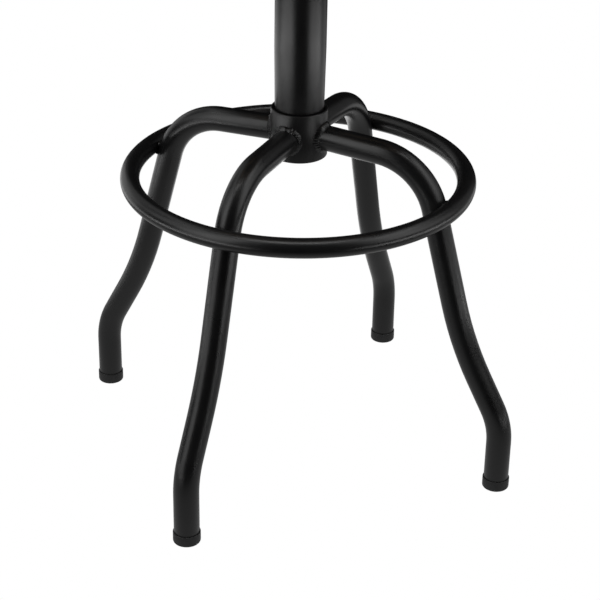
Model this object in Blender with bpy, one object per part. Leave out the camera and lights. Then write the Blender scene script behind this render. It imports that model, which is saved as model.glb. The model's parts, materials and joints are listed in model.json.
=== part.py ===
"""Backless swivel bar stool: a bent-tube base with a foot ring, a gas-lift column and a round padded seat.

Metres, +Z up. The origin is on the floor under the column's axis, and the four legs stand on the diagonals.
The stool is modelled at its lowest seat height, with the release lever pointing along +X.
"""
import math

import bmesh
import bpy
from mathutils import Matrix, Vector

# Clearances
GAP = 0.0003  # between pieces that touch
RUNNING_GAP = 0.00035  # round a shaft that turns in its bore

# Facets
LEG_SIDES = 16
RING_STEPS = 48
RING_SIDES = 10
ROUND_SIDES = 32
INNER_SIDES = 20
SMALL_SIDES = 12
FASTENER_SIDES = 10
BALL_SEGMENTS = 6
BALL_RINGS = 4
CUSHION_STEPS = 32
CROWN_STEPS = 7
SWELL_STEPS = 3
EDGE_STEPS = 3
FOLD_STEPS = 2
CORNER_STEPS = 4
BEND_STEP = 12.0  # degrees of bend for each ring of a tube
SHARP_ANGLE = 35.0  # degrees
KEY_SIDES = 6
ROUND_PROFILE = 0.5  # of a bevel
MERGE_DISTANCE = 0.000001
AXIS_MARK = 0.03  # size of the empty that marks a joint

# Legs: a nearly level root, a knee, a steep shin that sweeps out into the calf, and an upright ankle.
# Slopes are in degrees below level.
LEG_AZIMUTHS = {"front_left": -135.0, "front_right": -45.0, "back_right": 45.0, "back_left": 135.0}
LEG_DIA = 0.025
LEG_WALL = 0.0015
ROOT_SLOPE = 2.8
ROOT_LEN = 0.0866  # from the column's axis
KNEE_RADIUS = 0.0654
SHIN_SLOPE = 74.7
SHIN_LEN = 0.0995
SWEEP_RADIUS = 0.340
CALF_SLOPE = 61.1
CALF_LEN = 0.035
ANKLE_RADIUS = 0.0758
ANKLE_LEN = 0.0407

# Glides in the feet
GLIDE_LIP = 0.0010  # wider than the tube, all round
GLIDE_FLANGE = 0.0115
GLIDE_EDGE = 0.002  # radius of the lower edge
GLIDE_STEM = 0.018
GLIDE_RIBS = 2
GLIDE_RIB_DEPTH = 0.0022
GLIDE_RIB_HEIGHT = 0.003

# Foot ring
RING_DIA = 0.019  # of its tube
RING_DROP = 0.0466  # below the leg roots
SADDLE_DEPTH = 0.0013  # how far each leg is let into the ring

# Hub
HUB_WALL = 0.0036  # at the top of the bore
HUB_RISE = 0.0255  # above the leg roots
HUB_DROP = 0.0232  # below them
HUB_MOUTH = 0.0015  # chamfer of the bore
HUB_EDGE = 0.0006

# Gas-lift column
COLUMN_DIA = 0.050
COLUMN_WALL = 0.002
COLUMN_TAPER = 0.0251  # radius lost for each unit of length
TAPER_SHOW = 0.0359  # taper above the hub
COLUMN_RECESS = 0.0028  # from the hub's lower face
COLUMN_LIP = 0.005  # rolled-in lower edge
COLUMN_LIP_HEIGHT = 0.003
FLOOR_THICKNESS = 0.003
STROKE = 0.130
GUIDE_OVERLAP = 0.072  # tube still in the column at full height

# Thrust bearing
RACE_DIA = 0.028
RACE_THICKNESS = 0.002
BALL_DIA = 0.004
BALL_COUNT = 8
BALL_CIRCLE_DIA = 0.019
CAGE_WIDTH = 0.006
CAGE_THICKNESS = 0.0014

# Rod, piston and buffer
JOURNAL_DIA = 0.007
ROD_DIA = 0.010
ROD_NECK_DIA = 0.006
ROD_END = 0.0008  # from the column's lower edge
CLIP_DIA = 0.013
CLIP_THICKNESS = 0.001
CLIP_GROOVE = 0.0008  # depth
CLIP_ARC = 300.0  # degrees
BUFFER_DIA = 0.020
BUFFER_HEIGHT = 0.010
BUFFER_EDGE = 0.002
PISTON_HEIGHT = 0.012
PISTON_GROOVE = 0.0015
PISTON_LAND = 0.004  # above and below the groove
PISTON_MARGIN = 0.002  # from the gland at full height

# Pressure tube
TUBE_DIA = 0.028
TUBE_WALL = 0.0015
TUBE_LIP_DIA = 0.016
TUBE_LIP_HEIGHT = 0.001
GLAND_HEIGHT = 0.012
VALVE_BLOCK = 0.020  # solid top of the tube
TUBE_PROUD = 0.002  # above its socket
VALVE_DIA = 0.008
VALVE_PROUD = 0.005
VALVE_DEPTH = 0.012
VALVE_EDGE = 0.001

# Guide bush
BUSH_LEN = 0.080
BUSH_FLANGE = 0.003
BUSH_WALL = 0.0025

# Seat mechanism
SOCKET_DIA = 0.040
SOCKET_STEP = 0.002  # of its neck
SOCKET_NECK = 0.007
SOCKET_HEIGHT = 0.038
SOCKET_CLEAR = 0.004  # above the bush at the lowest height
SOCKET_EDGE = 0.0015
CHANNEL_LEN = 0.116
CHANNEL_WIDTH = 0.050
CHANNEL_SHEET = 0.0025
CHANNEL_FLANGE = 0.014
CHANNEL_FOLD = 0.0015  # inner radius
LEVER_HEADROOM = 0.011  # from the pivot to the plate
PLATE_SIDE = 0.190
PLATE_THICKNESS = 0.003
PLATE_CORNER = 0.012
BOLT_INSET = 0.015  # from the plate's edges

# Release lever
PIVOT_ARM = 0.022  # from the valve to the pivot
PIVOT_DIA = 0.005
PIVOT_HEAD_DIA = 0.009
PIVOT_HEAD = 0.002
EYE_DIA = 0.013
EYE_WIDTH = 0.009
LEVER_DIA = 0.008
LEVER_TOE = 0.005  # past the valve
LEVER_STRAIGHT = 0.025  # past the pivot
LEVER_BEND = 32.0  # degrees
LEVER_BEND_RADIUS = 0.020
LEVER_SLOPE_LEN = 0.032
LEVER_END_LEN = 0.065
GRIP_DIA = 0.016
GRIP_NECK_DIA = 0.012
GRIP_LEN = 0.064
GRIP_BORE = 0.048
GRIP_FLARE = 0.012
GRIP_EDGE = 0.004

# Seat
BOARD_DIA = 0.344
BOARD_THICKNESS = 0.012
SEAT_DIA = 0.366
CUSHION_SIDE = 0.020  # height of the widest line above the board
CUSHION_CROWN = 0.038  # from the widest line to the top
CUSHION_SQUARENESS = 2.6  # 2 is an ellipse
COVER_THICKNESS = 0.0015
COVER_TUCK = 0.025  # under the board

# Fasteners
BOLT_DIA = 0.006
BOLT_HEAD_DIA = 0.0105
BOLT_HEAD = 0.0033
BOLT_FLAT_DIA = 0.0068  # of the head's crown
BOLT_RIM = 0.001
BOLT_SOCKET = 0.004  # across the corners
BOLT_SOCKET_DEPTH = 0.002
BOLT_CLEARANCE = 0.0005  # round the shank
WASHER_DIA = 0.014
WASHER_THICKNESS = 0.0012
TEE_FLANGE_DIA = 0.019
TEE_FLANGE = 0.0015
TEE_WALL = 0.001
TEE_LEN = 0.0095


def leg_stages():
    """Returns the leg's straights and bends, from the hub down: length, bend radius, slope after the bend."""
    return [
        (ROOT_LEN, KNEE_RADIUS, SHIN_SLOPE),
        (SHIN_LEN, SWEEP_RADIUS, CALF_SLOPE),
        (CALF_LEN, ANKLE_RADIUS, 90.0),
    ]


def centreline(stages, slope):
    """Returns how far a bent centreline goes out and down over the given straights and bends."""
    out = 0.0
    down = 0.0
    slope = math.radians(slope)
    for length, radius, after in stages:
        after = math.radians(after)
        turn = math.copysign(radius, after - slope)
        out += length * math.cos(slope) + turn * (math.sin(after) - math.sin(slope))
        down += length * math.sin(slope) + turn * (math.cos(slope) - math.cos(after))
        slope = after
    return out, down


def ring_radius():
    """Returns the foot ring's radius: its tube lies on the outside of the legs, let in by the saddles."""
    reach = (LEG_DIA + RING_DIA) / 2
    knee_out, knee_down = centreline(leg_stages()[:1], ROOT_SLOPE)
    slope = math.radians(SHIN_SLOPE)
    touch_down = knee_down - reach * math.cos(slope)
    if RING_DROP > touch_down:
        touch_out = knee_out + reach * math.sin(slope)
        radius = touch_out + (RING_DROP - touch_down) / math.tan(slope)
    else:
        centre_out = knee_out - KNEE_RADIUS * math.sin(slope)
        centre_down = knee_down + KNEE_RADIUS * math.cos(slope)
        radius = centre_out + math.sqrt((KNEE_RADIUS + reach) ** 2 - (centre_down - RING_DROP) ** 2)
    return radius - SADDLE_DEPTH


# Heights and places that follow from the sizes above, from the floor up
FOOT_OUT, LEG_DOWN = centreline(leg_stages(), ROOT_SLOPE)
ROOT_Z = GLIDE_FLANGE + GAP + ANKLE_LEN + LEG_DOWN
RING_Z = ROOT_Z - RING_DROP
HUB_BOTTOM = ROOT_Z - HUB_DROP
HUB_TOP = ROOT_Z + HUB_RISE
HUB_RADIUS = COLUMN_DIA / 2 - COLUMN_TAPER * TAPER_SHOW + GAP + HUB_WALL
LEG_START = HUB_RADIUS / 2  # from the axis, before the hub end is coped
TAPER_TOP = HUB_TOP + TAPER_SHOW
COLUMN_BOTTOM = HUB_BOTTOM + COLUMN_RECESS
FLOOR_BOTTOM = COLUMN_BOTTOM + COLUMN_LIP_HEIGHT + GAP
FLOOR_TOP = FLOOR_BOTTOM + FLOOR_THICKNESS
LOWER_RACE_Z = FLOOR_TOP + GAP
BALL_Z = LOWER_RACE_Z + RACE_THICKNESS + GAP + BALL_DIA / 2
UPPER_RACE_Z = BALL_Z + BALL_DIA / 2 + GAP
SHOULDER_Z = UPPER_RACE_Z + RACE_THICKNESS + GAP
BUFFER_TOP = SHOULDER_Z + BUFFER_HEIGHT
TUBE_BOTTOM = BUFFER_TOP + GAP
GLAND_BOTTOM = TUBE_BOTTOM + TUBE_LIP_HEIGHT + GAP
GLAND_TOP = GLAND_BOTTOM + GLAND_HEIGHT
PISTON_BOTTOM = GLAND_TOP + STROKE + PISTON_MARGIN
PISTON_TOP = PISTON_BOTTOM + PISTON_HEIGHT
COLUMN_TOP = TUBE_BOTTOM + STROKE + GUIDE_OVERLAP
BUSH_TOP = COLUMN_TOP + GAP + BUSH_FLANGE
SOCKET_BOTTOM = BUSH_TOP + SOCKET_CLEAR
SOCKET_TOP = SOCKET_BOTTOM + SOCKET_HEIGHT
NECK_RADIUS = SOCKET_DIA / 2 - SOCKET_STEP
TUBE_TOP = SOCKET_TOP + TUBE_PROUD
CHANNEL_BOTTOM = SOCKET_TOP - SOCKET_NECK + GAP
VALVE_TOP = TUBE_TOP + VALVE_PROUD
PIVOT_Z = VALVE_TOP + GAP + LEVER_DIA / 2
PLATE_BOTTOM = PIVOT_Z + LEVER_HEADROOM
PLATE_TOP = PLATE_BOTTOM + PLATE_THICKNESS
BOARD_BOTTOM = PLATE_TOP + GAP
BOARD_TOP = BOARD_BOTTOM + BOARD_THICKNESS
CUSHION_BOTTOM = BOARD_TOP + GAP
WASHER_BOTTOM = PLATE_BOTTOM - GAP - WASHER_THICKNESS
BOLT_SEAT = WASHER_BOTTOM - GAP
TEE_TOP = BOARD_TOP - GAP
BOLT_HOLE = BOLT_DIA / 2 + BOLT_CLEARANCE
TEE_BARREL = BOLT_DIA / 2 + TEE_WALL
BOLT_OUT = PLATE_SIDE / 2 - BOLT_INSET
BOLT_PLACES = [(x * BOLT_OUT, y * BOLT_OUT) for x, y in ((-1, -1), (1, -1), (1, 1), (-1, 1))]


def column_radius(z):
    """Returns the column's outer radius at a height: straight above, tapered towards the hub."""
    return COLUMN_DIA / 2 - COLUMN_TAPER * max(0.0, TAPER_TOP - z)


def tube_radius(z):
    """Returns the pressure tube's outer radius at a height: its top is tapered for the socket."""
    return TUBE_DIA / 2 - COLUMN_TAPER * max(0.0, z - SOCKET_BOTTOM)


def bore(shaft_radius, clearance, sides):
    """Returns the corner radius of a faceted bore whose flats clear a shaft all round."""
    return (shaft_radius + clearance) / math.cos(math.pi / sides)


def make_material(name, colour, roughness, metallic=0.0):
    """Returns a Principled material."""
    made = bpy.data.materials.new(name)
    made.use_nodes = True
    shader = made.node_tree.nodes["Principled BSDF"]
    shader.inputs["Base Color"].default_value = (*colour, 1.0)
    shader.inputs["Roughness"].default_value = roughness
    shader.inputs["Metallic"].default_value = metallic
    made.diffuse_color = (*colour, 1.0)
    return made


def make_empty(name, location, parent=None):
    """Returns an empty that marks a joint's axis and carries what moves on it."""
    empty = bpy.data.objects.new(name, None)
    empty.empty_display_size = AXIS_MARK
    empty.location = location
    empty.parent = parent
    bpy.context.collection.objects.link(empty)
    return empty


def make_mesh(name, shape):
    """Returns a mesh from a bmesh, with its faces outwards and round surfaces smooth."""
    bmesh.ops.recalc_face_normals(shape, faces=shape.faces)
    mesh = bpy.data.meshes.new(name)
    shape.to_mesh(mesh)
    shape.free()
    mesh.shade_smooth()
    mesh.set_sharp_from_angle(angle=math.radians(SHARP_ANGLE))
    return mesh


def place(name, mesh, finish, parent=None, location=(0.0, 0.0, 0.0), turn=(0.0, 0.0, 0.0)):
    """Adds a named sub-part; location and turn are relative to its parent, and turn is in degrees."""
    if not mesh.materials:
        mesh.materials.append(finish)
    part = bpy.data.objects.new(name, mesh)
    part.parent = parent
    part.location = location
    part.rotation_euler = [math.radians(angle) for angle in turn]
    bpy.context.collection.objects.link(part)
    return part


def combine(mesh, tool_shape, operation, wall=0.0):
    """Returns the mesh, given a wall if one is asked, with a tool shape cut from it or added to it."""
    tool = place("tool", make_mesh("tool", tool_shape), finish=None)
    work = place("work", mesh, finish=None)
    if wall:
        shell = work.modifiers.new("wall", "SOLIDIFY")
        shell.thickness = wall
        shell.offset = -1.0
        shell.use_even_offset = True
    joined = work.modifiers.new("combine", "BOOLEAN")
    joined.operation = operation
    joined.object = tool
    bpy.context.view_layer.update()
    result = bpy.data.meshes.new_from_object(work.evaluated_get(bpy.context.evaluated_depsgraph_get()))
    result.materials.clear()
    result.set_sharp_from_angle(angle=math.radians(SHARP_ANGLE))
    for spent in (work, tool):
        bpy.data.objects.remove(spent)
    return result


def turned(profile, sides=ROUND_SIDES, arc=360.0):
    """Returns a shape turned about Z from (radius, height) points.

    A profile that starts on the axis ends on it too; any other is a closed loop. An arc under a full turn
    leaves two flat ends.
    """
    shape = bmesh.new()
    points = [shape.verts.new((radius, 0.0, height)) for radius, height in profile]
    on_axis = profile[0][0] == 0.0
    if arc < 360.0:
        start = [shape.faces.new(points)]
        geometry = start + list(start[0].edges) + points
    else:
        following = points[1:] if on_axis else points[1:] + points[:1]
        geometry = points + [shape.edges.new(pair) for pair in zip(points, following)]
    bmesh.ops.spin(shape, geom=geometry, cent=(0, 0, 0), axis=(0, 0, 1), angle=math.radians(arc), steps=sides,
                   use_duplicate=False)
    bmesh.ops.remove_doubles(shape, verts=shape.verts, dist=MERGE_DISTANCE)
    return shape


def ring_profile(inner, outer, low, high):
    """Returns the profile of a plain washer or sleeve."""
    return [(outer, high), (outer, low), (inner, low), (inner, high)]


def rod(radius, low, high, sides):
    """Returns an upright cylinder."""
    return turned([(0.0, low), (radius, low), (radius, high), (0.0, high)], sides)


def merge(shapes):
    """Returns one bmesh that holds all the given shapes."""
    whole = bmesh.new()
    for shape in shapes:
        part = bpy.data.meshes.new("part")
        shape.to_mesh(part)
        shape.free()
        whole.from_mesh(part)
        bpy.data.meshes.remove(part)
    return whole


def moved(shape, matrix):
    """Returns the shape after a transform."""
    bmesh.ops.transform(shape, matrix=matrix, verts=shape.verts)
    return shape


def bent_tube(radius, start, slope, stages, last, sides, capped):
    """Returns a round tube in the XZ plane, made by driving a circle along straights and round bends."""
    shape = bmesh.new()
    point = Vector(start)
    slope = math.radians(slope)
    across = Matrix.Translation(point) @ Matrix.Rotation(math.pi / 2 + slope, 4, "Y")
    bmesh.ops.create_circle(shape, segments=sides, radius=radius, matrix=across)
    ends = shape.edges[:]
    for length, bend_radius, after in stages + [(last, 0.0, None)]:
        heading = Vector((math.cos(slope), 0.0, -math.sin(slope)))
        driven = bmesh.ops.extrude_edge_only(shape, edges=ends)["geom"]
        corners = [item for item in driven if isinstance(item, bmesh.types.BMVert)]
        ends = [item for item in driven if isinstance(item, bmesh.types.BMEdge) and item.is_boundary]
        bmesh.ops.translate(shape, verts=corners, vec=heading * length)
        point += heading * length
        if after is None:
            break
        angle = math.radians(after) - slope
        inwards = Vector((-math.sin(slope), 0.0, -math.cos(slope))) * math.copysign(bend_radius, angle)
        steps = math.ceil(abs(math.degrees(angle)) / BEND_STEP)
        bent = bmesh.ops.spin(shape, geom=corners + ends, cent=point + inwards, axis=(0, 1, 0), angle=angle,
                              steps=steps, use_duplicate=False)["geom_last"]
        ends = [item for item in bent if isinstance(item, bmesh.types.BMEdge)]
        centre = point + inwards
        point = centre + Matrix.Rotation(angle, 3, "Y") @ (point - centre)
        slope += angle
    if capped:
        rims = [edge for edge in shape.edges if edge.is_boundary]
        bmesh.ops.holes_fill(shape, edges=rims, sides=sides)
    return shape


def leg_tube(radius, capped):
    """Returns one leg's outer skin, pointing along +X and starting inside the hub."""
    slope = math.radians(ROOT_SLOPE)
    start = (LEG_START * math.cos(slope), 0.0, ROOT_Z - LEG_START * math.sin(slope))
    stages = leg_stages()
    stages[0] = (ROOT_LEN - LEG_START, *stages[0][1:])
    return bent_tube(radius, start, ROOT_SLOPE, stages, ANKLE_LEN, LEG_SIDES, capped)


def add_legs(finish):
    """Adds the four legs: bent tubes whose hub ends are coped to the hub."""
    hub_clear = rod(HUB_RADIUS + GAP, HUB_BOTTOM - HUB_DROP, HUB_TOP + HUB_RISE, ROUND_SIDES)
    skin = make_mesh("leg", leg_tube(LEG_DIA / 2, capped=False))
    leg = combine(skin, hub_clear, "DIFFERENCE", wall=LEG_WALL)
    for corner, azimuth in LEG_AZIMUTHS.items():
        place("leg_" + corner, leg, finish, turn=(0.0, 0.0, azimuth))


def add_glides(finish):
    """Adds a glide to each foot: a flange with a rounded lower edge and a ribbed stem inside the tube."""
    radius = LEG_DIA / 2 + GLIDE_LIP
    rib = LEG_DIA / 2 - LEG_WALL - GAP
    core = rib - GLIDE_RIB_DEPTH
    profile = [(0.0, 0.0)]
    for step in range(EDGE_STEPS + 1):
        angle = math.radians(90.0 * step / EDGE_STEPS)
        rounded = radius - GLIDE_EDGE + GLIDE_EDGE * math.sin(angle)
        profile.append((rounded, GLIDE_EDGE - GLIDE_EDGE * math.cos(angle)))
    profile.append((radius, GLIDE_FLANGE))
    profile.append((core, GLIDE_FLANGE))
    pitch = GLIDE_STEM / GLIDE_RIBS
    for index in range(GLIDE_RIBS):
        low = GLIDE_FLANGE + pitch * index + (pitch - GLIDE_RIB_HEIGHT) / 2
        profile += [(core, low), (rib, low), (core, low + GLIDE_RIB_HEIGHT)]
    profile.append((core, GLIDE_FLANGE + GLIDE_STEM))
    profile.append((0.0, GLIDE_FLANGE + GLIDE_STEM))
    glide = make_mesh("foot_glide", turned(profile, LEG_SIDES))
    for corner, azimuth in LEG_AZIMUTHS.items():
        angle = math.radians(azimuth)
        foot = (FOOT_OUT * math.cos(angle), FOOT_OUT * math.sin(angle), 0.0)
        place("foot_glide_" + corner, glide, finish, location=foot, turn=(0.0, 0.0, azimuth))


def add_foot_ring(finish):
    """Adds the foot ring, with a shallow saddle where each leg lies against it."""
    shape = bmesh.new()
    half_step = Matrix.Rotation(math.pi / RING_STEPS, 4, "Z")
    section = Matrix.Translation((ring_radius(), 0.0, RING_Z)) @ Matrix.Rotation(math.pi / 2, 4, "X")
    bmesh.ops.create_circle(shape, segments=RING_SIDES, radius=RING_DIA / 2, matrix=half_step @ section)
    bmesh.ops.spin(shape, geom=shape.verts[:] + shape.edges[:], cent=(0, 0, 0), axis=(0, 0, 1),
                   angle=2 * math.pi, steps=RING_STEPS, use_duplicate=False)
    bmesh.ops.remove_doubles(shape, verts=shape.verts, dist=MERGE_DISTANCE)
    legs = []
    for azimuth in LEG_AZIMUTHS.values():
        leg = leg_tube(LEG_DIA / 2 + GAP, capped=True)
        legs.append(moved(leg, Matrix.Rotation(math.radians(azimuth), 4, "Z")))
    ring = make_mesh("foot_ring", shape)
    for leg in legs:
        ring = combine(ring, leg, "DIFFERENCE")
    place("foot_ring", ring, finish)


def add_hub(finish):
    """Adds the hub sleeve, whose tapered bore holds the column."""
    low = column_radius(HUB_BOTTOM) + GAP
    mouth = column_radius(HUB_TOP - HUB_MOUTH) + GAP
    profile = [
        (HUB_RADIUS - HUB_EDGE, HUB_TOP),
        (HUB_RADIUS, HUB_TOP - HUB_EDGE),
        (HUB_RADIUS, HUB_BOTTOM + HUB_EDGE),
        (HUB_RADIUS - HUB_EDGE, HUB_BOTTOM),
        (low, HUB_BOTTOM),
        (mouth, HUB_TOP - HUB_MOUTH),
        (mouth + HUB_MOUTH, HUB_TOP),
    ]
    place("hub_sleeve", make_mesh("hub_sleeve", turned(profile)), finish)


def add_column(paint, steel, plastic):
    """Adds the column: a tapered tube with a rolled-in edge, the floor on that edge and the guide bush."""
    lip_top = COLUMN_BOTTOM + COLUMN_LIP_HEIGHT
    profile = [
        (COLUMN_DIA / 2, COLUMN_TOP),
        (COLUMN_DIA / 2, TAPER_TOP),
        (column_radius(COLUMN_BOTTOM), COLUMN_BOTTOM),
        (column_radius(COLUMN_BOTTOM) - COLUMN_LIP, COLUMN_BOTTOM),
        (column_radius(lip_top) - COLUMN_LIP, lip_top),
        (column_radius(lip_top) - COLUMN_WALL, lip_top),
        (COLUMN_DIA / 2 - COLUMN_WALL, TAPER_TOP),
        (COLUMN_DIA / 2 - COLUMN_WALL, COLUMN_TOP),
    ]
    place("column_tube", make_mesh("column_tube", turned(profile)), paint)
    floor_radius = column_radius(FLOOR_BOTTOM) - COLUMN_WALL - GAP
    journal_bore = bore(JOURNAL_DIA / 2, RUNNING_GAP, ROUND_SIDES)
    floor = ring_profile(journal_bore, floor_radius, FLOOR_BOTTOM, FLOOR_TOP)
    place("column_floor", make_mesh("column_floor", turned(floor)), steel)
    skirt = COLUMN_DIA / 2 - COLUMN_WALL - GAP
    slide = bore(TUBE_DIA / 2, RUNNING_GAP, INNER_SIDES)
    web = COLUMN_TOP - BUSH_FLANGE
    low = BUSH_TOP - BUSH_LEN
    bush = [
        (COLUMN_DIA / 2 - GAP, BUSH_TOP - GAP),
        (COLUMN_DIA / 2 - GAP, COLUMN_TOP + GAP),
        (skirt, COLUMN_TOP + GAP),
        (skirt, low),
        (skirt - BUSH_WALL, low),
        (skirt - BUSH_WALL, web),
        (slide + BUSH_WALL, web),
        (slide + BUSH_WALL, low),
        (slide, low),
        (slide, BUSH_TOP),
        (COLUMN_DIA / 2 - BUSH_WALL, BUSH_TOP),
    ]
    place("guide_bush", make_mesh("guide_bush", turned(bush, INNER_SIDES)), plastic)


def add_bearing(steel, brass, carrier, roller):
    """Adds the thrust bearing that the seat swivels on: two races and a cage with its balls."""
    journal_bore = bore(JOURNAL_DIA / 2, RUNNING_GAP, SMALL_SIDES)
    races = (("bearing_lower_race", LOWER_RACE_Z, None), ("bearing_upper_race", UPPER_RACE_Z, carrier))
    for name, low, parent in races:
        race = ring_profile(journal_bore, RACE_DIA / 2, low, low + RACE_THICKNESS)
        place(name, make_mesh(name, turned(race, SMALL_SIDES)), steel, parent=parent)
    cage = ring_profile((BALL_CIRCLE_DIA - CAGE_WIDTH) / 2, (BALL_CIRCLE_DIA + CAGE_WIDTH) / 2,
                        BALL_Z - CAGE_THICKNESS / 2, BALL_Z + CAGE_THICKNESS / 2)
    balls = []
    for index in range(BALL_COUNT):
        angle = 2 * math.pi * (index + 0.5) / BALL_COUNT
        ball = bmesh.new()
        bmesh.ops.create_uvsphere(ball, u_segments=BALL_SEGMENTS, v_segments=BALL_RINGS, radius=BALL_DIA / 2)
        centre = Vector((math.cos(angle), math.sin(angle), 0.0)) * BALL_CIRCLE_DIA / 2
        balls.append(moved(ball, Matrix.Translation(centre + Vector((0.0, 0.0, BALL_Z)))))
    caged = combine(make_mesh("bearing_ball_cage", turned(cage, SMALL_SIDES)), merge(balls), "UNION")
    place("bearing_ball_cage", caged, brass, parent=roller)


def add_spindle(steel, spring_steel, rubber, alloy, carrier):
    """Adds the rod that stands on the bearing, with its clip below, its buffer and the piston on top."""
    journal = JOURNAL_DIA / 2
    clip_top = FLOOR_BOTTOM - GAP
    clip_bottom = clip_top - CLIP_THICKNESS
    neck = ROD_NECK_DIA / 2
    profile = [
        (0.0, COLUMN_BOTTOM + ROD_END),
        (journal, COLUMN_BOTTOM + ROD_END),
        (journal, clip_bottom - GAP),
        (journal - CLIP_GROOVE, clip_bottom - GAP),
        (journal - CLIP_GROOVE, clip_top + GAP),
        (journal, clip_top + GAP),
        (journal, SHOULDER_Z),
        (ROD_DIA / 2, SHOULDER_Z),
        (ROD_DIA / 2, PISTON_BOTTOM - GAP),
        (neck, PISTON_BOTTOM - GAP),
        (neck, PISTON_TOP),
        (0.0, PISTON_TOP),
    ]
    place("piston_rod", make_mesh("piston_rod", turned(profile, SMALL_SIDES)), steel, parent=carrier)
    clip = ring_profile(journal - CLIP_GROOVE + GAP, CLIP_DIA / 2, clip_bottom, clip_top)
    clip_mesh = make_mesh("rod_clip", turned(clip, SMALL_SIDES, CLIP_ARC))
    place("rod_clip", clip_mesh, spring_steel, parent=carrier)
    buffer = [
        (BUFFER_DIA / 2 - BUFFER_EDGE, BUFFER_TOP),
        (BUFFER_DIA / 2, BUFFER_TOP - BUFFER_EDGE),
        (BUFFER_DIA / 2, SHOULDER_Z),
        (ROD_DIA / 2 + GAP, SHOULDER_Z),
        (ROD_DIA / 2 + GAP, BUFFER_TOP),
    ]
    place("rod_buffer", make_mesh("rod_buffer", turned(buffer, SMALL_SIDES)), rubber, parent=carrier)
    outer = TUBE_DIA / 2 - TUBE_WALL - GAP
    piston = [
        (outer, PISTON_TOP),
        (outer, PISTON_TOP - PISTON_LAND),
        (outer - PISTON_GROOVE, PISTON_TOP - PISTON_LAND),
        (outer - PISTON_GROOVE, PISTON_BOTTOM + PISTON_LAND),
        (outer, PISTON_BOTTOM + PISTON_LAND),
        (outer, PISTON_BOTTOM),
        (neck + GAP, PISTON_BOTTOM),
        (neck + GAP, PISTON_TOP),
    ]
    place("piston", make_mesh("piston", turned(piston, INNER_SIDES)), alloy, parent=carrier)


def add_pressure_tube(steel, nylon, valve_finish, carrier, valve_carrier):
    """Adds the pressure tube with its tapered top, the gland in its lower end and the valve pin on top."""
    inner = TUBE_DIA / 2 - TUBE_WALL
    pin_bore = VALVE_DIA / 2 + GAP
    profile = [
        (tube_radius(TUBE_TOP), TUBE_TOP),
        (TUBE_DIA / 2, SOCKET_BOTTOM),
        (TUBE_DIA / 2, TUBE_BOTTOM),
        (TUBE_LIP_DIA / 2, TUBE_BOTTOM),
        (TUBE_LIP_DIA / 2, TUBE_BOTTOM + TUBE_LIP_HEIGHT),
        (inner, TUBE_BOTTOM + TUBE_LIP_HEIGHT),
        (inner, TUBE_TOP - VALVE_BLOCK),
        (pin_bore, TUBE_TOP - VALVE_BLOCK),
        (pin_bore, TUBE_TOP),
    ]
    place("pressure_tube", make_mesh("pressure_tube", turned(profile, INNER_SIDES)), steel, parent=carrier)
    gland = ring_profile(ROD_DIA / 2 + GAP, inner - GAP, GLAND_BOTTOM, GLAND_TOP)
    place("rod_gland", make_mesh("rod_gland", turned(gland, INNER_SIDES)), nylon, parent=carrier)
    pin = [
        (0.0, TUBE_TOP - VALVE_DEPTH),
        (VALVE_DIA / 2, TUBE_TOP - VALVE_DEPTH),
        (VALVE_DIA / 2, VALVE_TOP - VALVE_EDGE),
        (VALVE_DIA / 2 - VALVE_EDGE, VALVE_TOP),
        (0.0, VALVE_TOP),
    ]
    place("valve_pin", make_mesh("valve_pin", turned(pin, INNER_SIDES)), valve_finish, parent=valve_carrier)


def add_socket(steel, carrier):
    """Adds the socket on the tube's top taper, with a neck that stands in the channel."""
    shoulder = SOCKET_TOP - SOCKET_NECK
    profile = [
        (NECK_RADIUS, SOCKET_TOP),
        (NECK_RADIUS, shoulder),
        (SOCKET_DIA / 2, shoulder),
        (SOCKET_DIA / 2, SOCKET_BOTTOM + SOCKET_EDGE),
        (SOCKET_DIA / 2 - SOCKET_EDGE, SOCKET_BOTTOM),
        (tube_radius(SOCKET_BOTTOM) + GAP, SOCKET_BOTTOM),
        (tube_radius(SOCKET_TOP) + GAP, SOCKET_TOP),
    ]
    place("taper_socket", make_mesh("taper_socket", turned(profile, INNER_SIDES)), steel, parent=carrier)


def folded_section():
    """Returns the channel's section as a flat face: a trough with a flange along each upper edge."""
    shape = bmesh.new()
    top = PLATE_BOTTOM - GAP
    half = CHANNEL_WIDTH / 2
    inside = half - CHANNEL_SHEET
    tip = half + CHANNEL_FLANGE
    right = [
        (half, CHANNEL_BOTTOM, CHANNEL_FOLD + CHANNEL_SHEET),
        (half, top - CHANNEL_SHEET, CHANNEL_FOLD),
        (tip, top - CHANNEL_SHEET, 0.0),
        (tip, top, 0.0),
        (inside, top, CHANNEL_FOLD + CHANNEL_SHEET),
        (inside, CHANNEL_BOTTOM + CHANNEL_SHEET, CHANNEL_FOLD),
    ]
    left = [(-y, z, fold) for y, z, fold in reversed(right)]
    corners = [(shape.verts.new((-CHANNEL_LEN / 2, y, z)), fold) for y, z, fold in right + left]
    shape.faces.new([corner for corner, fold in corners])
    for radius in (CHANNEL_FOLD, CHANNEL_FOLD + CHANNEL_SHEET):
        folds = [corner for corner, fold in corners if fold == radius]
        bmesh.ops.bevel(shape, geom=folds, offset=radius, offset_type="OFFSET", segments=FOLD_STEPS,
                        profile=ROUND_PROFILE, affect="VERTICES")
    return shape


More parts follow.
